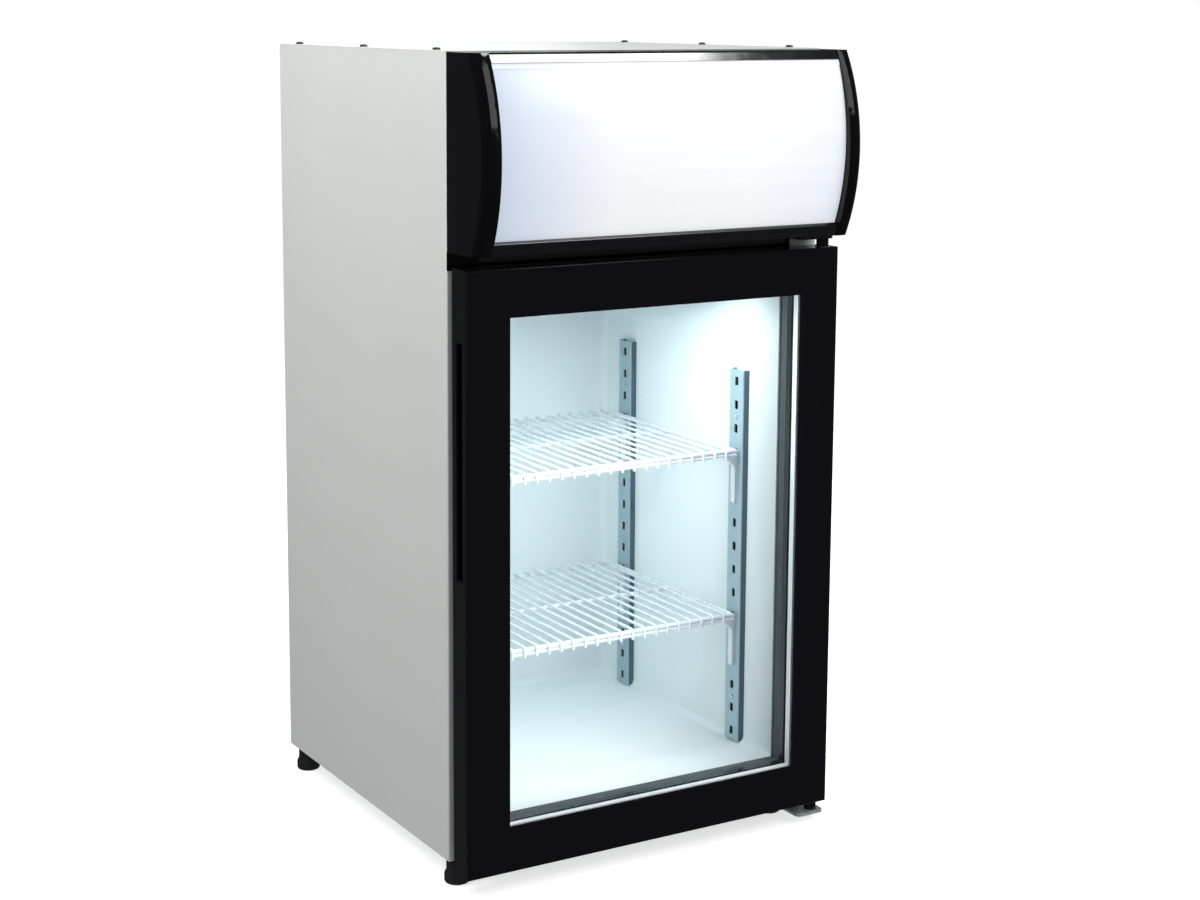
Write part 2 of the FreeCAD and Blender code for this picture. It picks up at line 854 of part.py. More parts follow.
def pilasters(name, side):
    """The front and rear channels of one side wall."""
    pair = [pilaster(f"{name}_{end}", side, back) for end, back in pilaster_backs().items()]
    return node(group(name, pair), name)


def pilaster_screws():
    """Two small screws through each pilaster into the wall."""
    screws = []
    for side in (-1, 1):
        for back, level in pilaster_screw_places():
            name = f"pilaster_screw_{len(screws)}"
            face = from_side(side, "side_wall + pilaster_deep")
            inward = f"({face}) - {side} * 1"
            outward = f"({face}) + {side} * 20"
            head = rod(name + "_head", "X", in_order(inward, face), back, level,
                       "small_screw_head")
            shank = rod(name + "_shank", "X", in_order(face, outward), back, level,
                        "small_screw_shank")
            screws.append(join(name, [head, shank]))
    return node(group("pilaster_screws", screws), "pilaster_screws")


def shelf_clip(name, side, back, slot):
    """Moulded clip: a ledge for the shelf, a web down the pilaster and two hooks in its slots."""
    body = new_body(name)
    face = "side_wall + pilaster_deep"
    top = f"{slot_level(slot)} + shelf_rise - 2 * wire_radius - 2 * rod_radius - shelf_gap"
    near = from_front(f"{back} - clip_wide / 2")
    far = from_front(f"{back} + clip_wide / 2")
    extrude(body, "XZ", near, far, outline([
        (from_side(side, face), from_base(top)),
        (from_side(side, f"{face} + clip_reach"), from_base(top)),
        (from_side(side, f"{face} + clip_reach"), from_base(f"{top} - clip_lip")),
        (from_side(side, f"{face} + clip_plate"), from_base(f"{top} - clip_gusset")),
        (from_side(side, f"{face} + clip_plate"), from_base(f"{top} - clip_drop")),
        (from_side(side, face), from_base(f"{top} - clip_drop")),
    ]))
    left, right = in_order(from_side(side, f"{face} + 1"), from_side(side, "side_wall + 1.6"))
    for below in (0, 2):
        level = slot_level(f"({slot}) - {below}")
        extrude(body, "XZ", from_front(f"{back} - slot_wide / 2 + hook_play"),
                from_front(f"{back} + slot_wide / 2 - hook_play"),
                rectangle(left, right, from_base(f"{level} - 4"), from_base(f"{level} + 2")))
    return body


def shelf_clips():
    """Eight clips, four to a shelf."""
    clips = []
    for slot in ("upper_slot", "lower_slot"):
        for side in (-1, 1):
            for back in pilaster_backs().values():
                clips.append(shelf_clip(f"shelf_clip_{len(clips)}", side, back, slot))
    return node(group("shelf_clips", clips), "shelf_clips")


def wire_shelf(name, slot):
    """White coated wire shelf: a rod frame, wires from front to back, and a bent-down front lip."""
    body = new_body(name)
    top = f"{slot_level(slot)} + shelf_rise"
    wire_level = f"{top} - wire_radius"
    rod_level = f"{top} - 2 * wire_radius - rod_radius"
    half = "shelf_half - rod_radius"
    front_rod = "shelf_front + 5.5"
    rear_rod = "shelf_rear - 4"
    cross_rods = [circle(from_front(back), from_base(f"{rod_level} + 0.5"), "rod_radius")
                  for back in (front_rod, "(shelf_front + shelf_rear) / 2", rear_rod)]
    lip_rod = circle(from_front("shelf_front + 2 * wire_radius + 1.2"),
                     from_base(f"{top} - lip_drop + 3.2"), "wire_radius + 0.1")
    extrude(body, "YZ", f"-({half})", half, *cross_rods, lip_rod)
    extrude(body, "XZ", from_front(f"{front_rod} - 1.5"), from_front(f"{rear_rod} + 1.5"),
            *[circle(f"{side} * ({half})", from_base(rod_level), "rod_radius") for side in (-1, 1)])
    first_wire = "-wire_pitch * (wire_count - 1) / 2"
    wire = body.newObject("PartDesign::AdditivePipe", name + "_wire")
    wire.Profile = add_sketch(body, "XZ", from_front("shelf_rear"),
                              [circle(first_wire, from_base(wire_level), "wire_radius")])
    wire.Spine = (add_sketch(body, "YZ", first_wire, [outline([
        (from_front("shelf_rear"), from_base(wire_level)),
        (from_front("shelf_front + wire_radius + lip_bend"), from_base(wire_level)),
        (from_front("shelf_front + wire_radius"), from_base(f"{wire_level} - lip_bend")),
        (from_front("shelf_front + wire_radius"), from_base(f"{top} - lip_drop")),
    ], {1: "lip_bend"}, closed=False)]), [])
    doc.recompute()
    body.Tip = wire
    repeat(body, wire, "X", "wire_pitch", "wire_count")
    return node(body, name)


# ---------------------------------------------------------------- door

PANE_FRONT = "lip - door_thick"
PANE_BACK = f"{PANE_FRONT} + pane"
REAR_PANE_FRONT = f"{PANE_BACK} + pane_gap"
REAR_PANE_BACK = f"{REAR_PANE_FRONT} + pane"
INNER_FRAME_BACK = f"{REAR_PANE_BACK} + inner_frame_deep"
UNIT_INSET = "stile - rebate + unit_slack"
HINGE_X = from_side(1, "hinge_inset")
HINGE_Y = from_front("hinge_front")


def door_frame():
    """Black outer frame with a rebate for the glass, a grip recess and bores for the hinge bushes."""
    body = ring("door_frame", "-door_thick", "-door_back", "0", "stile")
    carve(body, "XZ", from_front(PANE_FRONT), from_front("1 - door_back"),
          door_rectangle("stile - rebate"))
    carve(body, "YZ", from_side(-1, "-1"), from_side(-1, "grip_deep"),
          rectangle(from_front("grip_middle - grip_wide / 2"), from_front("grip_middle + grip_wide / 2"),
                    from_base("grip_low"), from_base("grip_high")))
    for low, high in (("-1 - door_drop", "bush_deep - door_drop"),
                      ("door_top - bush_deep", "door_top + 1")):
        carve(body, "XY", from_base(low), from_base(high), circle(HINGE_X, HINGE_Y, "bush_radius"))
    front_y = number(from_front("-door_thick"))
    half = number("width / 2")
    round_edges(body, "door_edge", lambda middle, way: abs(middle.y - front_y) < 0.1
                and (abs(abs(middle.x) - half) < 0.1 or abs(way.x) > 0.9 and not glass_edge(middle)))
    return node(body, "door_frame")


def glass_edge(middle):
    """True on the top and bottom edges of the glass opening."""
    low = number(from_base("stile - door_drop"))
    high = number(from_base("door_top - stile"))
    return low - 0.1 < middle.z < high + 0.1


def pane(name, front, back):
    body = new_body(name)
    extrude(body, "XZ", from_front(front), from_front(back), door_rectangle(UNIT_INSET))
    return node(body, name)


def door_liner():
    """Grey inner trim: it lines the opening behind the glass and covers the frame's back."""
    body = ring("door_liner", INNER_FRAME_BACK, "-door_back", UNIT_INSET, "stile - 0.6")
    extrude(body, "XZ", from_front("-door_back"), from_front("liner_flange - door_back"),
            door_rectangle("6"))
    carve(body, "XZ", from_front("-door_back - 1"), from_front("1"), door_rectangle("stile - 0.6"))
    return node(body, "door_liner")


def door_grip():
    """Moulded lining of the finger recess in the door's left edge."""
    body = new_body("door_grip")
    extrude(body, "YZ", from_side(-1, "0.4"), from_side(-1, "grip_deep - 0.1"),
            rectangle(from_front("grip_middle - grip_wide / 2 + 0.1"),
                      from_front("grip_middle + grip_wide / 2 - 0.1"),
                      from_base("grip_low + 0.1"), from_base("grip_high - 0.1")))
    carve(body, "YZ", from_side(-1, "0"), from_side(-1, "grip_deep - grip_wall"),
          rectangle(from_front("grip_middle - grip_wide / 2 + grip_wall"),
                    from_front("grip_middle + grip_wide / 2 - grip_wall"),
                    from_base("grip_low + grip_wall"), from_base("grip_high - grip_wall")))
    return node(body, "door_grip")


def door_bushes():
    """Two plastic bushes in the door that turn on the hinge pins."""
    bushes = []
    for low, high in (("-door_drop", "bush_deep - door_drop"), ("door_top - bush_deep", "door_top")):
        levels = (from_base(low), from_base(high))
        name = f"door_bush_{len(bushes)}"
        outside = rod(name + "_outside", "Z", HINGE_X, HINGE_Y, levels, "bush_radius")
        bore = rod(name + "_bore", "Z", HINGE_X, HINGE_Y,
                   tuple(f"{level} + {step}" for level, step in zip(levels, (-1, 1))),
                   "pin_radius + pin_clearance")
        bushes.append(subtract(name, outside, [bore]))
    return node(group("door_bushes", bushes), "door_bushes")


# ---------------------------------------------------------------- hinges

def hinge_screw_places():
    """Two screws of the upper bracket, into the cabinet's front."""
    return [(from_side(1, "canopy_fix_inset"), f"upper_bracket_low + {rise}")
            for rise in ("hinge_screw_low", "hinge_screw_high")]


def base_hinge_screws():
    """Two screws of the lower bracket, up into the base pan."""
    return [(from_side(1, "base_screw_inset"), from_front(back))
            for back in ("base_screw_first", "base_screw_second")]


def lower_hinge_bracket():
    """Zinc plated bracket: screwed under the base, stepped down, and out under the door."""
    body = new_body("lower_hinge_bracket")
    plate = "bracket_plate"
    low = "lower_bracket_low"
    rear = from_front("lower_bracket_back")
    extrude(body, "YZ", from_side(1, "lower_bracket_inset"), from_side(1, "sheet"), outline([
        (rear, from_base("0")),
        (from_front("0"), from_base("0")),
        (from_front("0"), from_base(f"{low} + {plate}")),
        (from_front("-bracket_reach"), from_base(f"{low} + {plate}")),
        (from_front("-bracket_reach"), from_base(low)),
        (from_front(plate), from_base(low)),
        (from_front(plate), from_base(f"-{plate}")),
        (rear, from_base(f"-{plate}")),
    ]))
    extrude(body, "XY", from_base(low), from_base(f"{low} + {plate}"),
            rectangle(from_side(1, "lower_bracket_arm"), from_side(1, "lower_bracket_inset - 3"),
                      from_front("-bracket_reach"), from_front("-2")))
    carve(body, "XY", from_base(f"{low} - 1"), from_base(f"{low} + {plate} + 1"),
          circle(HINGE_X, HINGE_Y, "pin_radius"))
    carve(body, "XY", from_base(f"-{plate} - 1"), from_base("1"),
          *[circle(across, back, HOLE) for across, back in base_hinge_screws()])
    front_y = number(from_front("-bracket_reach"))
    round_edges(body, "bracket_round",
                lambda middle, way: abs(way.z) > 0.9 and abs(middle.y - front_y) < 0.1)
    return node(body, "lower_hinge_bracket")


def upper_hinge_bracket():
    """Black angle bracket: screwed on the cabinet's front, with its plate over the door."""
    body = new_body("upper_hinge_bracket")
    plate = "bracket_plate"
    low = "upper_bracket_low"
    high = f"{low} + upper_bracket_tall"
    extrude(body, "YZ", from_side(1, "upper_bracket_inset"), from_side(1, "cap_wide + 1"), outline([
        (from_front("0"), from_base(low)),
        (from_front("0"), from_base(high)),
        (from_front(f"-{plate}"), from_base(high)),
        (from_front(f"-{plate}"), from_base(f"{low} + {plate}")),
        (from_front("-bracket_reach"), from_base(f"{low} + {plate}")),
        (from_front("-bracket_reach"), from_base(low)),
    ]))
    extrude(body, "XY", from_base(low), from_base(f"{low} + {plate}"),
            rectangle(from_side(1, "20"), from_side(1, "4"),
                      from_front("-bracket_reach"), from_front("0")))
    carve(body, "XY", from_base(f"{low} - 1"), from_base(f"{low} + {plate} + 1"),
          circle(HINGE_X, HINGE_Y, "pin_radius"))
    carve(body, "XZ", from_front(f"-{plate} - 1"), from_front("1"),
          *[circle(across, from_base(level), HOLE) for across, level in hinge_screw_places()])
    front_y = number(from_front("-bracket_reach"))
    round_edges(body, "bracket_round",
                lambda middle, way: abs(way.z) > 0.9 and abs(middle.y - front_y) < 0.1)
    return node(body, "upper_hinge_bracket")


def hinge_pins():
    """Two steel pins on one axis, fixed in the brackets."""
    lower = rod("lower_pin", "Z", HINGE_X, HINGE_Y,
                (from_base("lower_bracket_low"), from_base("pin_in_door - door_drop")), "pin_radius")
    upper = rod("upper_pin", "Z", HINGE_X, HINGE_Y,
                (from_base("door_top - pin_in_door"), from_base("upper_bracket_low + bracket_plate")),
                "pin_radius")
    return node(group("hinge_pins", [lower, upper]), "hinge_pins")


def hinge_collars():
    """Black plastic collars on the pins, between the brackets and the door."""
    collars = []
    spans = (("lower_bracket_low + bracket_plate", "-door_drop - collar_gap"),
             ("door_top + collar_gap", "upper_bracket_low"))
    for low, high in spans:
        name = f"hinge_collar_{len(collars)}"
        outside = rod(name + "_outside", "Z", HINGE_X, HINGE_Y,
                      (from_base(low), from_base(high)), "collar_radius")
        bore = rod(name + "_bore", "Z", HINGE_X, HINGE_Y,
                   (from_base(f"{low} - 1"), from_base(f"{high} + 1")), "pin_radius")
        collars.append(subtract(name, outside, [bore]))
    return node(group("hinge_collars", collars), "hinge_collars")


# ---------------------------------------------------------------- sign canopy

def canopy_front(level):
    """Y offset of the canopy's curved front at a height above the cabinet's underside."""
    return (f"canopy_radius - canopy_bulge - sqrt(canopy_radius * canopy_radius"
            f" - (({level}) - canopy_middle) * (({level}) - canopy_middle))")


def canopy_cap(name, side):
    """Glossy black end cap with a curved front, hollowed from the inside."""
    body = new_body(name)
    left, right = in_order(from_side(side, "0.3"), from_side(side, "cap_wide"))
    extrude(body, "YZ", left, right, outline([
        (from_front("-0.3"), from_base("canopy_high")),
        (from_front(canopy_front("canopy_high")), from_base("canopy_high")),
        (from_front(canopy_front("canopy_low")), from_base("canopy_low")),
        (from_front("-0.3"), from_base("canopy_low")),
    ], {1: "canopy_radius"}))
    outer_x = number(from_side(side, "0.3"))
    names = [f"Edge{i}" for i, edge in enumerate(body.Shape.Edges, start=1)
             if isinstance(edge.Curve, Part.Circle) and abs(edge.Vertexes[0].X - outer_x) < 0.1]
    dress(body, "Fillet", "Radius", "cap_edge", names)
    left, right = in_order(from_side(side, "cap_face"), from_side(side, "cap_wide + 1"))
    low = "canopy_low + cap_wall"
    high = "canopy_high - cap_wall"
    carve(body, "YZ", left, right, outline([
        (from_front("-cap_wall"), from_base(high)),
        (from_front(f"cap_wall + {canopy_front(high)}"), from_base(high)),
        (from_front(f"cap_wall + {canopy_front(low)}"), from_base(low)),
        (from_front("-cap_wall"), from_base(low)),
    ], {1: "canopy_radius"}))
    return node(body, name)


def sign_panel():
    """Translucent white sign sheet, bowed to the front."""
    body = new_body("sign_panel")
    end = ("sign_radius - sign_bow - sqrt(sign_radius * sign_radius"
           " - (sign_high - sign_low) * (sign_high - sign_low) / 4)")
    extrude(body, "YZ", from_side(-1, "cap_wide + 0.2"), from_side(1, "cap_wide + 0.2"), outline([
        (from_front(end), from_base("sign_high")),
        (from_front(end), from_base("sign_low")),
        (from_front(f"{end} + sign_sheet"), from_base("sign_low")),
        (from_front(f"{end} + sign_sheet"), from_base("sign_high")),
    ], {0: "sign_radius", 2: "-sign_radius"}))
    return node(body, "sign_panel")


def canopy_strip(name, points):
    """A thin strip with one section all the way between the two end caps."""
    body = new_body(name)
    extrude(body, "YZ", from_side(-1, "cap_wide + 0.1"), from_side(1, "cap_wide + 0.1"),
            outline([(from_front(back), from_base(up)) for back, up in points]))
    return body


def canopy_top_rail():
    """Black rail over the sign: flat on top, with a sloped nose that holds the sheet."""
    high = "canopy_high"
    return node(canopy_strip("canopy_top_rail", [
        ("-0.3", high), ("-46.5", high), ("-50", f"{high} - 1.7"), ("-55.4", f"{high} - 9"),
        ("-53.8", f"{high} - 9.2"), ("-49", f"{high} - 3.4"), ("-46", f"{high} - 1.8"),
        ("-0.3", f"{high} - 1.8"),
    ]), "canopy_top_rail")


def canopy_bottom_rail():
    """Black rail under the sign, with a bevelled nose and an inward foot."""
    low = "canopy_low"
    return node(canopy_strip("canopy_bottom_rail", [
        ("-53.6", f"{low} + 13"), ("-56", f"{low} + 13.5"), ("-58.6", f"{low} + 11"),
        ("-57.5", f"{low} + 5.5"), ("-54", low), ("-38.5", low), ("-38.5", f"{low} + 1.8"),
        ("-52.9", f"{low} + 1.8"), ("-55.9", f"{low} + 6.2"), ("-56.6", f"{low} + 10.2"),
        ("-53.6", f"{low} + 11.5"),
    ]), "canopy_bottom_rail")


def light_tray():
    """White folded reflector behind the lamp, screwed on the cabinet's front."""
    low = "canopy_low + tray_lift"
    high = "canopy_high - tray_drop"
    body = canopy_strip("light_tray", [
        ("tray_front + sheet", high), ("tray_front + sheet", low),
        ("tray_reach", low), ("tray_reach", f"{low} + sheet"),
        ("tray_front", f"{low} + sheet"), ("tray_front", f"{high} - sheet"),
        ("tray_reach + 4", f"{high} - sheet"), ("tray_reach + 4", high),
    ])
    carve(body, "XZ", from_front("tray_front - 1"), from_front("tray_front + 2 * sheet"),
          *[circle(across, from_base(level), HOLE) for across, level in canopy_screw_places()])
    return node(body, "light_tray")


def canopy_screw_places():
    return [(from_side(side, "canopy_fix_inset"), level)
            for side in (-1, 1) for level in ("canopy_fix_low", "canopy_fix_high")]


def canopy_screws():
    """Four screws with spacer sleeves that hold the light tray on the cabinet."""
    screws = []
    for across, level in canopy_screw_places():
        name = f"canopy_screw_{len(screws)}"
        up = from_base(level)
        bolt = screw(name + "_bolt", "Y", across, from_front("tray_front"), up)
        sleeve = rod(name + "_sleeve", "Y", across,
                     (from_front("tray_front + sheet"), from_front("0")), up, "screw_head")
        screws.append(join(name, [bolt, sleeve]))
    return node(group("canopy_screws", screws), "canopy_screws")


def sign_lamp():
    """LED tube across the canopy, with metal end caps."""
    level = from_base("(sign_low + sign_high) / 2")
    tube = rod("lamp_tube", "X", ("-lamp_half", "lamp_half"), from_front("lamp_front"), level, "lamp_radius")
    return node(tube, "sign_lamp")


def lamp_holders():
    """Two holders that carry the ends of the lamp off the tray."""
    holders = []
    middle = "(sign_low + sign_high) / 2"
    for side in (-1, 1):
        left, right = in_order(f"{side} * lamp_half", f"{side} * (lamp_half + holder_wide)")
        holders.append(box(f"lamp_holder_{len(holders)}", (left, right),
                           (from_front("lamp_front - lamp_radius - 2"), from_front("tray_front")),
                           (from_base(f"{middle} - holder_half"), from_base(f"{middle} + holder_half"))))
    return node(group("lamp_holders", holders), "lamp_holders")


# ---------------------------------------------------------------- machine compartment

DECK = "deck_level + sheet"


def compressor():
    """Welded hermetic compressor shell on its mounting plate."""
    body = new_body("compressor")
    radius = "compressor_radius"
    low = "grommet_high"
    high = f"{low} + compressor_high"
    belt = f"{low} + compressor_high / 2"
    spin(body, "XZ", "Z", outline([
        ("0", f"{low} + 1"),
        (f"{radius} - 14", f"{low} + 1"),
        (radius, f"{low} + 18"),
        (radius, f"{belt} - 4"),
        (f"{radius} + 3", f"{belt} - 4"),
        (f"{radius} + 3", f"{belt} + 4"),
        (radius, f"{belt} + 4"),
        (radius, f"{high} - 34"),
        (f"{radius} - 10", f"{high} - 15"),
        (f"{radius} - 28", f"{high} - 3"),
        (f"{radius} - 40", high),
        ("0", high),
    ]))
    extrude(body, "XY", f"{low} + 1", f"{low} + 1 + plate_thick",
            rectangle("-plate_half_wide", "plate_half_wide", "-plate_half_deep", "plate_half_deep"))
    carve(body, "XY", low, f"{low} + 5", *[circle(x, y, "4.3") for x, y in COMPRESSOR_FEET])
    return node(place(body, "compressor_x", from_front("compressor_back"), from_base(DECK)), "compressor")


COMPRESSOR_FEET = [(f"{x} * bolt_across", f"{y} * bolt_back") for x in (-1, 1) for y in (-1, 1)]


def compressor_grommets():
    """Rubber grommets and bolts between the compressor and the deck."""
    grommets = []
    for x, y in COMPRESSOR_FEET:
        name = f"compressor_grommet_{len(grommets)}"
        across = f"compressor_x + {x}"
        back = from_front(f"compressor_back + {y}")
        spans = (("0", "grommet_high + 1", "grommet_radius"),
                 ("grommet_high + 0.5", "grommet_high + 4", "4.2"),
                 ("grommet_high + 4", "grommet_high + 8", "grommet_radius - 1"))
        grommets.append(join(name, [
            rod(f"{name}_{i}", "Z", across, back,
                (from_base(f"{DECK} + {low}"), from_base(f"{DECK} + {high}")), radius)
            for i, (low, high, radius) in enumerate(spans)]))
    return node(group("compressor_grommets", grommets), "compressor_grommets")


def finned_coil(name, across, back, up, fins, core):
    """A block between pairs of limits, slit into upright fins in front of and behind its core."""
    body = new_body(name)
    left, right = across
    near, far = back
    low, high = up
    extrude(body, "XY", low, high, rectangle(left, right, near, far))
    for cut_near, cut_far in ((f"{near} - 1", f"{near} + {core}"), (f"{far} - {core}", f"{far} + 1")):
        gap = carve(body, "XY", f"{low} - 1", f"{high} + 1",
                    rectangle(f"{left} + 2", f"{left} + 2 + fin_gap", cut_near, cut_far))
        repeat(body, gap, "X", "fin_pitch", fins)
    return body


def tube_ends(body, across, backs, level, reach):
    """Round tube ends that stand out at both sides of a coil."""
    for side, x in zip((-1, 1), across):
        left, right = in_order(f"{x} - {side}", f"{x} + {side} * {reach}")
        extrude(body, "YZ", left, right, *[circle(back, level, "tube_radius") for back in backs])


def condenser_coil():
    """Finned condenser that stands in front of the rear louvres."""
    low = from_base(f"{DECK} + 0.1")
    across = ("condenser_left", "condenser_right")
    back = (from_front("condenser_front"), from_front("condenser_back"))
    body = finned_coil("condenser_coil", across, back, (low, f"{low} + condenser_high"),
                       "condenser_fins", "condenser_core")
    backs = (from_front("condenser_front + 10"), from_front("condenser_back - 10"))
    for row in range(int(number("tube_rows"))):
        tube_ends(body, across, backs, f"{low} + 16 + {row} * tube_pitch", 7)
    return node(body, "condenser_coil")


def fan_shroud():
    """Sheet metal shroud between the fan and the condenser."""
    body = new_body("fan_shroud")
    front = "condenser_front - shroud_deep"
    wall = "shroud_sheet"
    extrude(body, "XZ", from_front(front), from_front("condenser_front - 0.1"),
            rectangle("condenser_left", "condenser_right",
                      from_base(DECK), from_base(f"{DECK} + condenser_high + 4")))
    carve(body, "XZ", from_front(f"{front} + {wall}"), from_front("condenser_front"),
          rectangle(f"condenser_left + {wall}", f"condenser_right - {wall}",
                    from_base(f"{DECK} + {wall}"), from_base(f"{DECK} + condenser_high + 4 - {wall}")))
    carve(body, "XZ", from_front(f"{front} - 1"), from_front(f"{front} + {wall} + 1"),
          circle("fan_x", from_base("fan_level"), "fan_radius + 4"))
    return node(body, "fan_shroud")


def fan_blade(name, radius, hub, deep, rotation, across, back, up):
    """Moulded fan: a hub with a shaft bore and five pitched blades."""
    body = new_body(name)
    extrude(body, "XY", "0", deep, circle("0", "0", hub))
    carve(body, "XY", f"{deep} - 5", f"{deep} + 1", circle("0", "0", "fan_bore"))
    blade = body.newObject("PartDesign::AdditiveLoft", name + "_blade")
    root = add_sketch(body, "XZ", f"-({hub}) + 2", [outline(blade_section(f"{hub} * 0.55", deep))])
    tip = add_sketch(body, "XZ", f"-({radius})", [outline(blade_section(f"{radius} * 0.3", deep))])
    blade.Profile = root
    blade.Sections = [tip]
    blade.Ruled = True
    doc.recompute()
    body.Tip = blade
    blades = body.newObject("PartDesign::PolarPattern", name + "_blades")
    blades.Originals = [blade]
    blades.Axis = (origin_feature(body, "Z_Axis"), [""])
    blades.Angle = 360
    blades.Occurrences = int(number("blade_count"))
    doc.recompute()
    body.Tip = blades
    return node(place(body, across, back, up, rotation), name)


def blade_section(half, deep):
    """A thin slanted section that climbs from the front of the hub to its back."""
    return [(f"-({half})", f"{deep} * 0.15"), (f"{half}", f"{deep} * 0.75"),
            (f"{half}", f"{deep} * 0.75 + blade_thick"), (f"-({half})", f"{deep} * 0.15 + blade_thick")]


def condenser_fan_motor():
    """Fan motor on a bracket across the shroud, with its shaft in the blade's hub."""
    level = from_base("fan_level")
    can_back = "fan_front - 10"
    can_front = f"{can_back} - motor_deep"
    strap_front = f"{can_front} - 2"
    strap_levels = (f"{level} - strap_tall / 2", f"{level} + strap_tall / 2")
    parts = [
        rod("fan_motor_can", "Y", "fan_x", (from_front(can_front), from_front(can_back)),
            level, "motor_radius"),
        rod("fan_motor_shaft", "Y", "fan_x", (from_front(f"{can_back} - 2"), from_front("fan_front + 4.5")),
            level, "fan_bore - pin_clearance"),
        box("fan_motor_strap", ("fan_x - strap_half", "fan_x + strap_half"),
            (from_front(strap_front), from_front(f"{strap_front} + strap_sheet")), strap_levels),
    ]
    for side in (-1, 1):
        left, right = in_order(f"fan_x + {side} * (strap_half - 2)", f"fan_x + {side} * (strap_half + 1)")
        parts.append(box(f"fan_motor_leg_{side + 1}", (left, right),
                         (from_front(strap_front), from_front("condenser_front - shroud_deep")),
                         strap_levels))
    return node(join("condenser_fan_motor", parts), "condenser_fan_motor")


def tube(name, points, radius, bend):
    """A copper tube: straight runs joined by bends of one radius."""
    corners = [Vector(*[number(p) for p in point]) for point in points]
    edges = []
    start = corners[0]
    for before, corner, after in zip(corners, corners[1:], corners[2:]):
        arriving = (corner - before).normalize()
        leaving = (after - corner).normalize()
        turn = arriving.getAngle(leaving)
        run = number(bend) * math.tan(turn / 2)
        enter = corner - arriving * run
        leave = corner + leaving * run
        inward = (leaving - arriving).normalize()
        crown = corner + inward * (number(bend) / math.cos(turn / 2) - number(bend))
        edges.append(Part.LineSegment(start, enter).toShape())
        edges.append(Part.Arc(enter, crown, leave).toShape())
        start = leave
    edges.append(Part.LineSegment(start, corners[-1]).toShape())
    path = Part.Wire(edges)
    first_way = (corners[1] - corners[0]).normalize()
    section = Part.Wire([Part.Circle(corners[0], first_way, number(radius)).toShape()])
    solid = path.makePipeShell([section], True, False)
    feature = doc.addObject("Part::Feature", name)
    feature.Shape = solid
    return feature


def refrigerant_lines():
    """Copper tubes: compressor to condenser, condenser to drier, and the return from the cold coil."""
    top = "foot_height + deck_level"
    shell = "compressor_radius + 0.2"
    discharge = tube("discharge_line", [
        (f"compressor_x + 0.6 * ({shell})", from_front(f"compressor_back + 0.8 * ({shell})"), f"{top} + 60"),
        ("compressor_x + 48", from_front("compressor_back + 64"), f"{top} + 60"),
        ("compressor_x + 48", from_front("condenser_back - 10"), f"{top} + 60"),
        ("compressor_x + 48", from_front("condenser_back - 10"), f"{top} + 143.1"),
        ("condenser_left - 7.2", from_front("condenser_back - 10"), f"{top} + 143.1"),
    ], "2.5", "9")
    suction = tube("suction_line", [
        (f"compressor_x + {shell}", from_front("compressor_back"), f"{top} + 34"),
        ("line_x", from_front("compressor_back"), f"{top} + 34"),
        (*LINE_HOLE, f"{top} + 34"),
        (*LINE_HOLE, "foot_height + ceiling_level - 20"),
        ("line_x", from_front("evaporator_back + 0.2"), "foot_height + ceiling_level - 20"),
    ], "3", "8")
    return node(group("refrigerant_lines", [discharge, suction]), "refrigerant_lines")


def filter_drier():
    """Copper filter drier that lies beside the condenser."""
    body = new_body("filter_drier")
    spin(body, "XZ", "X", outline([
        ("-48", "0"), ("-48", "2.5"), ("-40", "2.5"), ("-34", "9"), ("34", "9"),
        ("40", "2.5"), ("48", "2.5"), ("48", "0"),
    ]))
    place(body, "compressor_x + 14", from_front("condenser_back - 8"), from_base(f"{DECK} + 9.1"))
    return node(body, "filter_drier")


# ---------------------------------------------------------------- evaporator and controls

def evaporator_coil():
    """Finned evaporator under the ceiling of the cold space."""
    low = from_base("cover_low + cover_wall + 5")
    across = ("evaporator_left", "evaporator_right")
    back = (from_front("evaporator_front"), from_front("evaporator_back"))
    body = finned_coil("evaporator_coil", across, back, (low, from_base("ceiling_level - 0.1")),
                       "evaporator_fins", "evaporator_core")
    backs = (from_front("evaporator_front + 12"), from_front("evaporator_back - 12"))
    for row in range(2):
        tube_ends(body, across, backs, f"{low} + 12 + {row} * evaporator_pitch", 5)
    return node(body, "evaporator_coil")


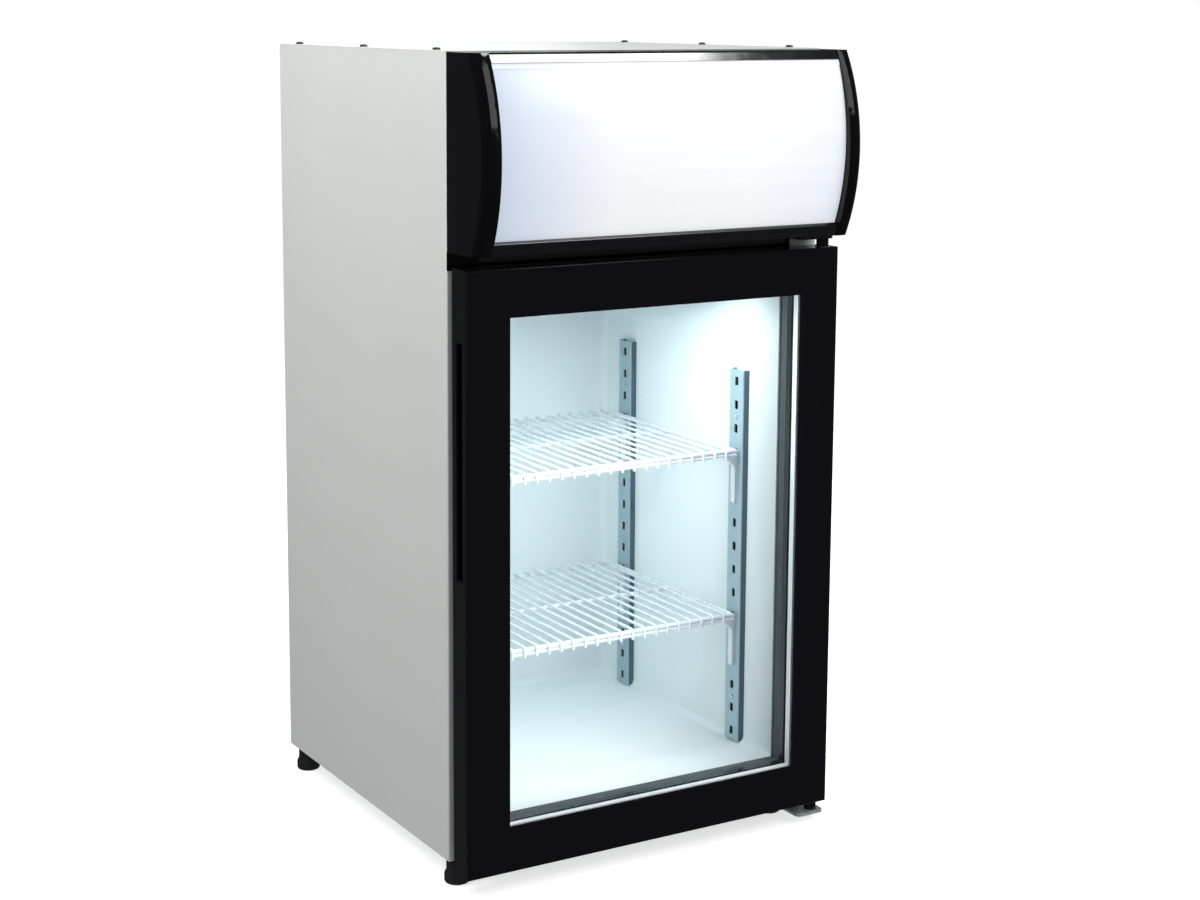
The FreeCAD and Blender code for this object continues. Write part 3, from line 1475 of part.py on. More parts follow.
def evaporator_cover():
    """White cover under the evaporator, with a fan opening and an air inlet."""
    body = new_body("evaporator_cover")
    wall = "cover_wall"
    ceiling = "ceiling_level - 0.2"
    rear = "depth - back_wall - 0.3"
    extrude(body, "YZ", "-cover_half", "cover_half", outline([
        (from_front("cover_front"), from_base(ceiling)),
        (from_front("cover_front"), from_base("cover_lip")),
        (from_front("cover_knee"), from_base("cover_low")),
        (from_front(f"{rear} - 8"), from_base("cover_low")),
        (from_front(f"{rear} - 8"), from_base(ceiling)),
    ]))
    carve(body, "YZ", f"{wall} - cover_half", f"cover_half - {wall}", outline([
        (from_front(f"cover_front + {wall}"), from_base("ceiling_level + 1")),
        (from_front(f"cover_front + {wall}"), from_base(f"cover_lip + {wall}")),
        (from_front(f"cover_knee + {wall}"), from_base(f"cover_low + {wall}")),
        (from_front(f"{rear} - 8 - {wall}"), from_base(f"cover_low + {wall}")),
        (from_front(f"{rear} - 8 - {wall}"), from_base("ceiling_level + 1")),
    ]))
    carve(body, "XY", from_base("cover_low - 1"), from_base(f"cover_low + {wall} + 1"),
          circle("cold_fan_x", from_front("cold_fan_back"), "cold_fan_radius + 3"))
    inlet = carve(body, "XZ", from_front("cover_front - 1"), from_front("cover_front + 6"),
                  rectangle("inlet_left", "inlet_left + inlet_wide",
                            from_base("cover_lip + 6"), from_base("ceiling_level - 6")))
    repeat(body, inlet, "X", "inlet_pitch", "inlet_count")
    carve(body, "XZ", from_front("cover_front - 1"), from_front(f"cover_front + {wall} + 1"),
          circle("knob_x", from_base("knob_level"), "spindle_radius + 0.3"))
    return node(body, "evaporator_cover")


def cold_fan_guard():
    """White guard over the cold fan's opening: three rings on a cross."""
    body = new_body("cold_fan_guard")
    arm = "cold_fan_radius + 8"
    for near, far in (("guard_bar", arm), (arm, "guard_bar")):
        extrude(body, "XY", "0", "guard_bar", rectangle(f"-({near})", near, f"-({far})", far))
    for step in range(3):
        outer = f"guard_first + {step} * guard_pitch"
        extrude(body, "XY", "0", "guard_bar",
                circle("0", "0", outer), circle("0", "0", f"{outer} - guard_bar"))
    place(body, "cold_fan_x", from_front("cold_fan_back"), from_base("cover_low - 0.1 - guard_bar"))
    return node(body, "cold_fan_guard")


def evaporator_fan_motor():
    """Small motor that hangs from the ceiling over the cold fan."""
    back = from_front("cold_fan_back")
    parts = [
        rod("cold_motor_can", "Z", "cold_fan_x", back,
            (from_base("ceiling_level - 30"), from_base("ceiling_level - 0.2")), "17"),
        rod("cold_motor_shaft", "Z", "cold_fan_x", back,
            (from_base("ceiling_level - 36.5"), from_base("ceiling_level - 29")),
            "fan_bore - pin_clearance"),
    ]
    return node(join("evaporator_fan_motor", parts), "evaporator_fan_motor")


def thermostat():
    """Thermostat box behind the evaporator cover's front, with its spindle."""
    parts = [
        box("thermostat_box", ("knob_x - 18", "knob_x + 18"),
            (from_front("cover_front + cover_wall + 0.2"), from_front("cover_front + 34")),
            (from_base("knob_level - 10"), from_base("knob_level + 11"))),
        rod("thermostat_spindle", "Y", "knob_x", (from_front("cover_front - 8"),
                                                  from_front("cover_front + 4")),
            from_base("knob_level"), "spindle_radius"),
    ]
    return node(join("thermostat", parts), "thermostat")


def thermostat_knob():
    """Control knob with a pointer rib, on the thermostat's spindle."""
    body = new_body("thermostat_knob")
    extrude(body, "XY", "0", "knob_deep", circle("0", "0", "knob_radius"))
    rim = [f"Edge{i}" for i, edge in enumerate(body.Shape.Edges, start=1)
           if edge.BoundBox.ZMax < 0.1 and edge.Length > 20]
    dress(body, "Chamfer", "Size", "1", rim)
    extrude(body, "XY", "-2", "1", rectangle("-1.6", "1.6", "0", "knob_radius - 1"))
    carve(body, "XY", "2", "knob_deep + 1", circle("0", "0", "spindle_radius + pin_clearance"))
    place(body, "knob_x", from_front("cover_front - 0.4 - knob_deep"), from_base("knob_level"),
          TO_BACK)
    return node(body, "thermostat_knob")


def switch_rectangle(inset):
    """The switch's opening in the rear cover, moved in by inset on all four sides."""
    half_wide = f"(switch_half_wide - ({inset}))"
    half_tall = f"(switch_half_tall - ({inset}))"
    return rectangle(f"switch_x - {half_wide}", f"switch_x + {half_wide}",
                     from_base(f"switch_level - {half_tall}"), from_base(f"switch_level + {half_tall}"))


def switch_bezel():
    """Black frame of the light switch in the rear grille."""
    body = new_body("switch_bezel")
    extrude(body, "XZ", from_front("depth"), from_front("depth + bezel_rim"), switch_rectangle("-2"))
    extrude(body, "XZ", from_front("depth - bezel_deep"), from_front("depth + 0.1"),
            switch_rectangle("0.1"))
    carve(body, "XZ", from_front("depth - bezel_deep + 2"), from_front("depth + 2"),
          switch_rectangle("1.2"))
    carve(body, "YZ", "switch_x - switch_half_wide - 1", "switch_x + switch_half_wide + 1",
          circle(*ROCKER_AXIS, "trunnion_radius + 0.15"))
    return node(body, "switch_bezel")


ROCKER_AXIS = (from_front("depth - 3"), from_base("switch_level"))


def light_switch():
    """Rocker of the sign lamp's switch, on two trunnions and pressed in at its upper end."""
    body = new_body("light_switch")
    extrude(body, "YZ", "switch_x - 5", "switch_x + 5", outline([
        (from_front("depth - 6"), from_base("switch_level - 7")),
        (from_front("depth + 1.8"), from_base("switch_level - 8.4")),
        (from_front("depth + 0.6"), from_base("switch_level")),
        (from_front("depth - 0.2"), from_base("switch_level + 9")),
        (from_front("depth - 6"), from_base("switch_level + 7")),
    ]))
    extrude(body, "YZ", "switch_x - trunnion_half", "switch_x + trunnion_half",
            circle(*ROCKER_AXIS, "trunnion_radius"))
    return node(body, "light_switch")


def cord_gland():
    """Strain relief where the supply cord enters, closed because no cord is fitted."""
    body = new_body("cord_gland")
    neck = "gland_neck - 0.2"
    spin(body, "XZ", "Z", outline([
        ("0", "-6"), (neck, "-6"), (neck, "0"), ("gland_radius", "0"),
        ("gland_radius", "2.5"), ("gland_radius - 3", "3.5"), ("gland_radius - 5.5", "gland_reach"),
        ("gland_bore", "gland_reach"), ("gland_bore", "0"), ("0", "0"),
    ]))
    return node(place(body, "gland_x", from_front("depth"), from_base("gland_level"), TO_BACK),
                "cord_gland")


# ---------------------------------------------------------------- assembly

def build():
    side_panel("side_panel_left", -1)
    side_panel("side_panel_right", 1)
    top_panel()
    back_panel()
    rear_grille()
    base_pan()
    sill = front_rail("sill_rail", "sheet", "floor_level - skin - 0.1")
    header = front_rail("header_rail", "ceiling_level + skin + 0.1", "header_top")
    machine_deck()
    inner_liner()
    feet()
    feet_bolts = foot_screws()
    pilasters("pilasters_left", -1)
    pilasters("pilasters_right", 1)
    wall_screws = pilaster_screws()
    shelf_clips()
    wire_shelf("upper_shelf", "upper_slot")
    wire_shelf("lower_shelf", "lower_slot")
    door_frame()
    pane("front_pane", PANE_FRONT, PANE_BACK)
    node(ring("glass_spacer", PANE_BACK, REAR_PANE_FRONT, "stile - rebate + 2", "stile - 0.3"),
         "glass_spacer")
    pane("rear_pane", REAR_PANE_FRONT, REAR_PANE_BACK)
    node(ring("inner_frame", REAR_PANE_BACK, INNER_FRAME_BACK, UNIT_INSET, "stile - 0.2"), "inner_frame")
    door_liner()
    node(ring("door_gasket", "liner_flange - door_back", "-gasket_gap",
              "gasket_inset", "stile - gasket_lap"), "door_gasket")
    door_grip()
    door_bushes()
    lower_hinge_bracket()
    upper_hinge_bracket()
    hinge_pins()
    hinge_collars()
    panel_screws = pan_screws()
    canopy_cap("canopy_cap_left", -1)
    canopy_cap("canopy_cap_right", 1)
    sign_panel()
    canopy_top_rail()
    canopy_bottom_rail()
    light_tray()
    canopy_screws()
    sign_lamp()
    lamp_holders()
    compressor()
    compressor_grommets()
    condenser_coil()
    fan_shroud()
    condenser_fan_motor()
    fan_blade("condenser_fan", "fan_radius", "fan_hub", "fan_deep", TO_FRONT,
              "fan_x", from_front("fan_front + fan_deep"), from_base("fan_level"))
    filter_drier()
    refrigerant_lines()
    evaporator_coil()
    evaporator_cover()
    cold_fan_guard()
    evaporator_fan_motor()
    fan_blade("evaporator_fan", "cold_fan_radius", "cold_fan_hub", "12", None,
              "cold_fan_x", from_front("cold_fan_back"), from_base("ceiling_level - 46"))
    thermostat()
    thermostat_knob()
    switch_bezel()
    light_switch()
    cord_gland()
    insulation_foam([sill, header, feet_bolts, wall_screws, panel_screws])


def export():
    """Stops on any failed object, then writes each sub-part to its own file."""
    doc.recompute()
    for thing in doc.Objects:
        if {"Invalid", "Error"} & set(thing.State):
            raise RuntimeError(f"{thing.Name} failed: {thing.State}")
    os.makedirs("parts", exist_ok=True)
    for name, thing in NODES:
        shape = thing.Shape
        if shape.isNull() or not shape.isValid() or not shape.Solids:
            raise RuntimeError(f"{name} has no valid solid")
        shape.exportStep(f"parts/{name}.step")
    print(len(NODES), "sub-parts")


build()
export()
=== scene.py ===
"""Countertop glass door merchandiser: a small refrigerated cabinet with a lit sign canopy.

The frame's origin is on the worktop, under the middle of the cabinet. +Z is up, the door faces -Y
and its hinges are at +X. Everything is in metres.
"""
import json
import math

from collections import Counter

import bmesh
import bpy
from mathutils import Matrix, Vector

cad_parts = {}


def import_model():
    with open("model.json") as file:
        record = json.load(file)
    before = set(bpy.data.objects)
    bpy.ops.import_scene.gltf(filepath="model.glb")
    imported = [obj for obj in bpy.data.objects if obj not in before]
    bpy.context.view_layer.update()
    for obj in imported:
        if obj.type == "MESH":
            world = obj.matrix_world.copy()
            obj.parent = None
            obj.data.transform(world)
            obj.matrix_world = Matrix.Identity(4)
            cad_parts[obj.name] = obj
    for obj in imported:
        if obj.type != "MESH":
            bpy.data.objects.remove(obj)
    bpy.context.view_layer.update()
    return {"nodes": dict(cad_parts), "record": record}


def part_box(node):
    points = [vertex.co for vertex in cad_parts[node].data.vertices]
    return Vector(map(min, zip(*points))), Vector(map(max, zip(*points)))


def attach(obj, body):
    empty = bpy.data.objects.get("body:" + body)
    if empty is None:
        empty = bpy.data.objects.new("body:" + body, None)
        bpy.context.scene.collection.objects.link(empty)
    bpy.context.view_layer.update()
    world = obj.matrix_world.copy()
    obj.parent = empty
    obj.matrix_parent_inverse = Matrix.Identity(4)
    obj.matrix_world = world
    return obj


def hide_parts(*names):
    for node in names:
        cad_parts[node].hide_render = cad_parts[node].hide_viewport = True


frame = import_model()
NODES = frame["nodes"]
MM = 0.001
HAIR = 0.001 * MM   # points closer than this are one


# ---------------------------------------------------------------- shader helpers

class Surface:
    """A Principled material and the few nodes that give it grain, wear and colour variation."""

    def __init__(self, name, color, roughness, **values):
        self.material = bpy.data.materials.new(name)
        self.material.use_nodes = True
        self.nodes = self.material.node_tree.nodes
        self.links = self.material.node_tree.links
        self.shader = self.nodes["Principled BSDF"]
        self.color = (*color, 1)
        self.roughness = roughness
        self.set("Base Color", self.color)
        self.set("Roughness", roughness)
        for socket, value in values.items():
            self.set(socket.replace("_", " "), value)
        self.place = self.nodes.new("ShaderNodeTexCoord").outputs["Object"]

    def set(self, socket, value):
        self.shader.inputs[socket].default_value = value

    def feed(self, socket, value):
        """Sets a socket to a number or colour, or links another socket to it."""
        if isinstance(value, (int, float, tuple)):
            socket.default_value = value
        else:
            self.links.new(value, socket)

    def scaled(self, factors):
        """The object coordinates, stretched."""
        mapping = self.nodes.new("ShaderNodeMapping")
        mapping.inputs["Scale"].default_value = factors
        self.links.new(self.place, mapping.inputs["Vector"])
        return mapping.outputs["Vector"]

    def noise(self, scale, detail=3, stretch=None):
        node = self.nodes.new("ShaderNodeTexNoise")
        node.inputs["Scale"].default_value = scale
        node.inputs["Detail"].default_value = detail
        self.links.new(self.scaled(stretch) if stretch else self.place, node.inputs["Vector"])
        return node.outputs["Fac"]

    def cells(self, scale):
        node = self.nodes.new("ShaderNodeTexVoronoi")
        node.inputs["Scale"].default_value = scale
        self.links.new(self.place, node.inputs["Vector"])
        return node.outputs["Color"]

    def axis(self, name):
        """One of the object coordinates, X, Y or Z, in metres."""
        split = self.nodes.new("ShaderNodeSeparateXYZ")
        self.links.new(self.place, split.inputs["Vector"])
        return split.outputs[name]

    def spread(self, value, low, high, to_low, to_high):
        """value mapped from low..high to to_low..to_high and clamped there."""
        node = self.nodes.new("ShaderNodeMapRange")
        ends = {"From Min": low, "From Max": high, "To Min": to_low, "To Max": to_high}
        for socket, number in ends.items():
            node.inputs[socket].default_value = number
        self.links.new(value, node.inputs["Value"])
        return node.outputs["Result"]

    def blend(self, factor, one, two):
        """Colour that goes from one to two with factor. Each is a colour or a socket."""
        node = self.nodes.new("ShaderNodeMix")
        node.data_type = "RGBA"
        colors = [socket for socket in node.inputs if socket.type == "RGBA"]
        for socket, value in zip(colors, (one, two)):
            self.feed(socket, value)
        self.links.new(factor, node.inputs["Factor"])
        return next(socket for socket in node.outputs if socket.type == "RGBA")

    def math(self, operation, one, two=0.0):
        """The result of a Math node on one or two numbers or sockets."""
        node = self.nodes.new("ShaderNodeMath")
        node.operation = operation
        for socket, value in zip(node.inputs, (one, two)):
            self.feed(socket, value)
        return node.outputs[0]

    def tint(self, factor, other):
        """Base colour that drifts towards another colour where factor is high."""
        self.links.new(self.blend(factor, self.color, (*other, 1)), self.shader.inputs["Base Color"])
        return self

    def vary_roughness(self, factor, change):
        """Roughness that goes from change below to change above its value as factor rises."""
        result = self.spread(factor, 0.3, 0.7, self.roughness - change, self.roughness + change)
        self.links.new(result, self.shader.inputs["Roughness"])
        return self

    def bump(self, height, distance, strength=1.0):
        node = self.nodes.new("ShaderNodeBump")
        node.inputs["Distance"].default_value = distance
        node.inputs["Strength"].default_value = strength
        self.links.new(height, node.inputs["Height"])
        self.links.new(node.outputs["Normal"], self.shader.inputs["Normal"])
        return self


# ---------------------------------------------------------------- materials

def powder_white():
    """Smooth white powder coat with a fine orange peel."""
    look = Surface("powder_white", (0.74, 0.765, 0.74), 0.38, Specular_IOR_Level=0.3)
    look.tint(look.noise(6, 2), (0.70, 0.73, 0.695))
    look.vary_roughness(look.noise(45), 0.05)
    return look.bump(look.noise(900, 2), 0.00004, 0.5).material


def sheet_white():
    """White baked enamel of the folded reflector."""
    look = Surface("sheet_white", (0.82, 0.83, 0.84), 0.5)
    look.vary_roughness(look.noise(60), 0.06)
    return look.bump(look.noise(700, 2), 0.00004, 0.5).material


def rail_black():
    """Black paint on steel strips."""
    look = Surface("rail_black", (0.003, 0.003, 0.005), 0.12, Specular_IOR_Level=0.75)
    look.tint(look.noise(30), (0.005, 0.005, 0.010))
    look.vary_roughness(look.noise(80), 0.03)
    return look.bump(look.noise(800, 2), 0.00003, 0.5).material


def cap_black():
    """High gloss black moulding with a very slight flow ripple."""
    look = Surface("cap_black", (0.002, 0.002, 0.0025), 0.10, Specular_IOR_Level=0.25)
    look.tint(look.noise(14), (0.004, 0.004, 0.005))
    look.vary_roughness(look.noise(30), 0.03)
    return look.bump(look.noise(60, 2), 0.00008, 0.25).material


def door_black():
    """Smooth black door profile."""
    look = Surface("door_black", (0.002, 0.002, 0.003), 0.16, Specular_IOR_Level=0.5)
    look.tint(look.noise(25), (0.003, 0.003, 0.007))
    look.vary_roughness(look.noise(70), 0.03)
    return look.bump(look.noise(700, 2), 0.00002, 0.4).material


def glass():
    """Clear float glass: it shows what is behind it, and mirrors more at a glancing angle."""
    look = Surface("glass", (0.93, 0.98, 0.97), 0.02, Metallic=1.0)
    facing = look.nodes.new("ShaderNodeLayerWeight").outputs["Facing"]
    glancing = look.math("POWER", facing, 5)
    look.links.new(look.spread(glancing, 0, 1, 0.008, 0.9), look.shader.inputs["Alpha"])
    return look.vary_roughness(look.noise(3), 0.01).material


def spacer():
    """Bright aluminium spacer with fine drawing lines."""
    look = Surface("spacer", (0.92, 0.92, 0.93), 0.4, Metallic=0.1)
    look.vary_roughness(look.noise(300, 3, (1, 1, 0.02)), 0.08)
    return look.bump(look.noise(1500, 2, (1, 0.05, 1)), 0.00002, 0.5).material


def liner_grey():
    """Dark grey moulded trim inside the door."""
    look = Surface("liner_grey", (0.045, 0.060, 0.064), 0.45, Specular_IOR_Level=0.25)
    look.tint(look.noise(40), (0.055, 0.072, 0.076))
    look.vary_roughness(look.noise(150), 0.06)
    return look.bump(look.noise(1200, 2), 0.00003, 0.5).material


def gasket_grey():
    """Soft grey vinyl seal."""
    look = Surface("gasket_grey", (0.22, 0.225, 0.235), 0.55, Sheen_Weight=0.1)
    look.tint(look.noise(50), (0.18, 0.185, 0.195))
    look.vary_roughness(look.noise(200), 0.07)
    return look.bump(look.noise(600, 3), 0.00005, 0.5).material


def liner_white():
    """Vacuum formed white lining with a slight sheen."""
    look = Surface("liner_white", (0.85, 0.92, 0.93), 0.35)
    look.tint(look.noise(5, 2), (0.82, 0.90, 0.915))
    look.vary_roughness(look.noise(35), 0.06)
    return look.bump(look.noise(350, 2), 0.00005, 0.4).material


def wire_white():
    """White plastic coating on shelf wire, a little thicker in places."""
    look = Surface("wire_white", (0.80, 0.84, 0.88), 0.28, Coat_Weight=0.2)
    look.tint(look.noise(90), (0.70, 0.76, 0.82))
    look.vary_roughness(look.noise(150), 0.06)
    return look.bump(look.noise(260, 2), 0.00012, 0.6).material


def clip_white():
    """White moulded nylon."""
    look = Surface("clip_white", (0.80, 0.84, 0.87), 0.45,
                   Subsurface_Weight=0.05, Subsurface_Scale=0.002)
    look.vary_roughness(look.noise(200), 0.06)
    return look.bump(look.noise(900, 2), 0.00003, 0.5).material


def galvanised(name, color, roughness):
    """Zinc coated sheet with a faint spangle."""
    look = Surface(name, color, roughness, Metallic=0.75)
    look.tint(look.cells(110), tuple(0.9 * c for c in color))
    look.vary_roughness(look.noise(40), 0.08)
    return look.bump(look.noise(500, 3), 0.00003, 0.5).material


def pilaster_steel():
    """Dull zinc coated strip, a little blue, with painted shade darkening its flanks and the inside of
    its channel.
    """
    look = Surface("pilaster_steel", (0.42, 0.55, 0.60), 0.42, Metallic=0.25)
    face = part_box("pilasters_right")[0].x
    depth = look.math("SUBTRACT", look.math("ABSOLUTE", look.axis("X")), face)
    # painted shade: deeper than the face, the flanks and the inside of the channel turn dark slate as if
    # in shadow
    shaded_flank = look.spread(depth, 1.25 * MM, 1.5 * MM, 0.0, 1.0)
    worn = look.blend(look.noise(90, 4), look.color, (0.37, 0.48, 0.53, 1))
    look.links.new(look.blend(shaded_flank, worn, (0.09, 0.14, 0.19, 1)), look.shader.inputs["Base Color"])
    look.vary_roughness(look.noise(160), 0.08)
    return look.bump(look.noise(500, 3), 0.00003, 0.5).material


def zinc():
    """Bright zinc plated hardware with small handling marks."""
    look = Surface("zinc", (0.74, 0.76, 0.78), 0.34, Metallic=0.55)
    look.tint(look.noise(120, 5), (0.58, 0.60, 0.63))
    look.vary_roughness(look.noise(260, 5), 0.12)
    return look.bump(look.noise(800, 3), 0.00004, 0.5).material


def screw_dark():
    """Blackened steel screws, worn a little brighter in places."""
    look = Surface("screw_dark", (0.06, 0.06, 0.065), 0.4, Metallic=0.8)
    look.tint(look.noise(600, 3), (0.16, 0.16, 0.17))
    return look.vary_roughness(look.noise(500), 0.1).material


def rubber():
    """Matt black rubber with fine grain and a little dust."""
    look = Surface("rubber", (0.012, 0.012, 0.013), 0.6)
    look.tint(look.noise(300, 4), (0.028, 0.028, 0.03))
    look.vary_roughness(look.noise(400), 0.1)
    return look.bump(look.noise(1400, 3), 0.00005, 0.6).material


def sign_sheet():
    """Translucent white acrylic with a painted glow standing in for the lamp shining through it, and
    painted shade, dimmer and bluer, towards its ends.
    """
    look = Surface("sign_sheet", (0.55, 0.56, 0.60), 0.22, Subsurface_Weight=0.1, Subsurface_Scale=0.003)
    # painted shade: the lamp's light falls off towards the ends, strongly at the left and less at the
    # right
    near_left = look.spread(look.axis("X"), -0.18, -0.07, 1.0, 0.0)
    near_right = look.spread(look.axis("X"), 0.08, 0.19, 0.0, 0.4)
    ends = look.math("ADD", near_left, near_right)
    look.tint(ends, (0.50, 0.53, 0.60))
    # painted light: the emission is a painted glow of the lamp behind the sheet, fading to a dimmer blue
    # towards the ends
    painted_backlight_glow = look.blend(ends, (1.0, 1.0, 1.0, 1), (0.60, 0.70, 0.84, 1))
    look.links.new(painted_backlight_glow, look.shader.inputs["Emission Color"])
    look.set("Emission Strength", 0.57)
    return look.bump(look.noise(400, 2), 0.00003, 0.3).material


def lamp():
    """Frosted tube of the sign lamp."""
    look = Surface("lamp", (0.95, 0.96, 0.98), 0.4, Emission_Color=(1, 1, 1, 1), Emission_Strength=1.5)
    return look.vary_roughness(look.noise(90), 0.05).material


def foam():
    """Foamed insulation with open cells."""
    look = Surface("foam", (0.75, 0.65, 0.40), 0.85)
    look.tint(look.noise(90, 5), (0.62, 0.50, 0.28))
    return look.bump(look.noise(700, 4), 0.0004, 0.8).material


def nylon():
    """Off-white moulded parts."""
    look = Surface("nylon", (0.70, 0.70, 0.67), 0.45)
    look.vary_roughness(look.noise(200), 0.06)
    return look.bump(look.noise(900, 2), 0.00003, 0.5).material


def enamel_black():
    """Thick black enamel of the compressor and motors."""
    look = Surface("enamel_black", (0.015, 0.015, 0.016), 0.3, Coat_Weight=0.4, Coat_Roughness=0.2)
    look.tint(look.noise(40), (0.03, 0.03, 0.032))
    return look.bump(look.noise(300, 3), 0.00012, 0.6).material


def fins():
    """Bare aluminium fins."""
    look = Surface("fins", (0.70, 0.71, 0.72), 0.4, Metallic=0.9)
    look.tint(look.noise(150), (0.6, 0.61, 0.62))
    return look.vary_roughness(look.noise(300), 0.1).material


def fan_plastic():
    """Dark moulded fan."""
    look = Surface("fan_plastic", (0.04, 0.04, 0.045), 0.5)
    look.vary_roughness(look.noise(150), 0.08)
    return look.bump(look.noise(900, 2), 0.00003, 0.5).material


def copper():
    """Drawn copper, dulled in patches."""
    look = Surface("copper", (0.72, 0.36, 0.22), 0.3, Metallic=1.0)
    look.tint(look.noise(80, 5), (0.40, 0.20, 0.13))
    return look.vary_roughness(look.noise(120, 4), 0.12).material


def gloss_small():
    """Glossy black knob, switch and strain relief."""
    look = Surface("gloss_small", (0.012, 0.012, 0.013), 0.25)
    look.vary_roughness(look.noise(200), 0.06)
    return look.bump(look.noise(1200, 2), 0.00002, 0.5).material


MATERIALS = {
    "cabinet_white": powder_white(),
    "rail_black": rail_black(),
    "galvanised": galvanised("galvanised", (0.60, 0.63, 0.66), 0.42),
    "liner_white": liner_white(),
    "foam": foam(),
    "foot_black": rubber(),
    "clip_white": clip_white(),
    "wire_white": wire_white(),
    "door_black": door_black(),
    "glass": glass(),
    "spacer": spacer(),
    "liner_grey": liner_grey(),
    "gasket_grey": gasket_grey(),
    "bush_plastic": nylon(),
    "zinc": zinc(),
    "screw_dark": screw_dark(),
    "cap_black": cap_black(),
    "sign_white": sign_sheet(),
    "lamp": lamp(),
    "machine_black": enamel_black(),
    "fin_aluminium": fins(),
    "fan_plastic": fan_plastic(),
    "copper": copper(),
    "knob_black": gloss_small(),
    "switch_black": gloss_small(),
}
OWN_MATERIALS = {
    "light_tray": sheet_white(),
    "pilasters_left": pilaster_steel(),
    "pilasters_right": pilaster_steel(),
}


def paint_nodes():
    """Gives every CAD node the material of its slot, or one of its own."""
    for part in frame["record"]["subparts"]:
        node = NODES[part["node"]]
        node.data.materials.clear()
        node.data.materials.append(OWN_MATERIALS.get(part["node"], MATERIALS[part["material_slot"]]))


# ---------------------------------------------------------------- mesh helpers

def islands(name):
    """The separate solids of a CAD node, each as the list of its corners."""
    mesh = NODES[name].data
    owner = {}

    def root(key):
        while owner[key] != key:
            key = owner[key]
        return key

    keys = [tuple(round(c, 6) for c in v.co) for v in mesh.vertices]
    for key in keys:
        owner.setdefault(key, key)
    for edge in mesh.edges:
        one, other = (root(keys[i]) for i in edge.vertices)
        owner[one] = other
    found = {}
    for key in owner:
        found.setdefault(root(key), []).append(Vector(key))
    return list(found.values())


def extent(corners):
    """The lowest and highest X, Y and Z of some corners."""
    low = Vector(min(corner[i] for corner in corners) for i in range(3))
    high = Vector(max(corner[i] for corner in corners) for i in range(3))
    return low, high


def levels(name, axis, least=1):
    """The coordinates along an axis at which a CAD node has at least that many corners, in order."""
    corners = {tuple(round(c, 5) for c in v.co) for v in NODES[name].data.vertices}
    counts = Counter(corner[axis] for corner in corners)
    return sorted(value for value, count in counts.items() if count >= least)


def new_piece(name, mesh_source, body, slot, replaced=None, smooth=True):
    """Turns a bmesh into a piece that rides on a body and has the material of its slot."""
    mesh = bpy.data.meshes.new(name)
    bmesh.ops.recalc_face_normals(mesh_source, faces=mesh_source.faces)
    mesh_source.to_mesh(mesh)
    mesh_source.free()
    for face in mesh.polygons:
        face.use_smooth = smooth
    thing = bpy.data.objects.new(name, mesh)
    bpy.context.scene.collection.objects.link(thing)
    mesh.materials.append(MATERIALS[slot])
    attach(thing, body)
    if replaced:
        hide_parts(replaced)
    return thing


def bridge(bm, rows, closed=False):
    """Faces between rows of corners that all have the same number of points."""
    made = [[bm.verts.new(point) for point in row] for row in rows]
    count = len(rows[0])
    spans = count if closed else count - 1
    for one, other in zip(made, made[1:]):
        for i in range(spans):
            j = (i + 1) % count
            bm.faces.new((one[i], one[j], other[j], other[i]))
    return made


def slab(low, high, edge):
    """A bmesh of a box between two corners, with its edges rounded."""
    bm = bmesh.new()
    middle = Matrix.Translation((low + high) / 2)
    bmesh.ops.create_cube(bm, size=1, matrix=middle @ Matrix.Diagonal((*(high - low), 1)))
    bmesh.ops.bevel(bm, geom=bm.edges[:], offset=edge, segments=2, affect="EDGES")
    return bm


def turned(profile, steps, at, outward):
    """Rows of corners for a profile of (radius, height) turned about the outward direction."""
    across = outward.orthogonal().normalized()
    along = outward.cross(across)
    rows = []
    for radius, height in profile:
        row = []
        for k in range(steps):
            angle = math.tau * k / steps
            spoke = across * math.cos(angle) + along * math.sin(angle)
            row.append(at + outward * height + spoke * radius)
        rows.append(row)
    return rows


# ---------------------------------------------------------------- screws

HEAD_STEPS = 40     # corners around a head
HEAD_RINGS = 15     # rings of corners from its middle to its rim
HEAD_DROP = 0.16    # how far the dome falls to the rim, over the head's height
CROSS_ARM = 0.58    # reach of the recess, its half width and its slope, over the head's radius
CROSS_HALF = 0.15
CROSS_EDGE = 0.10
CROSS_DEPTH = 0.55  # over the head's height


def head_height(across, along, radius, high):
    """Height of a pan head with a cross recess, at a point on it."""
    reach = min(1.0, math.hypot(across, along) / radius)
    dome = high * (1 - HEAD_DROP * reach**2) * math.sqrt(max(0.0, 1 - reach**7))
    inside = 1.0
    for one, other in ((across, along), (along, across)):
        outside = max(abs(one) / radius - CROSS_HALF, abs(other) / radius - CROSS_ARM)
        inside = min(inside, max(0.0, min(1.0, 1 + outside / CROSS_EDGE)))
    return dome - CROSS_DEPTH * high * (1 - inside)


def add_head(bm, at, outward, radius, high, twist):
    """One pan head whose seat is at a point, facing outward."""
    across = Matrix.Rotation(twist, 3, outward) @ outward.orthogonal().normalized()
    along = outward.cross(across)
    rows = []
    for ring in range(HEAD_RINGS + 1):
        reach = max(radius * ring / HEAD_RINGS, HAIR)
        row = []
        for k in range(HEAD_STEPS):
            angle = math.tau * k / HEAD_STEPS
            x = reach * math.cos(angle)
            y = reach * math.sin(angle)
            row.append(at + across * x + along * y + outward * head_height(x, y, radius, high))
        rows.append(row)
    made = bridge(bm, rows, closed=True)
    bm.faces.new(made[0])
    bm.faces.new(made[-1])


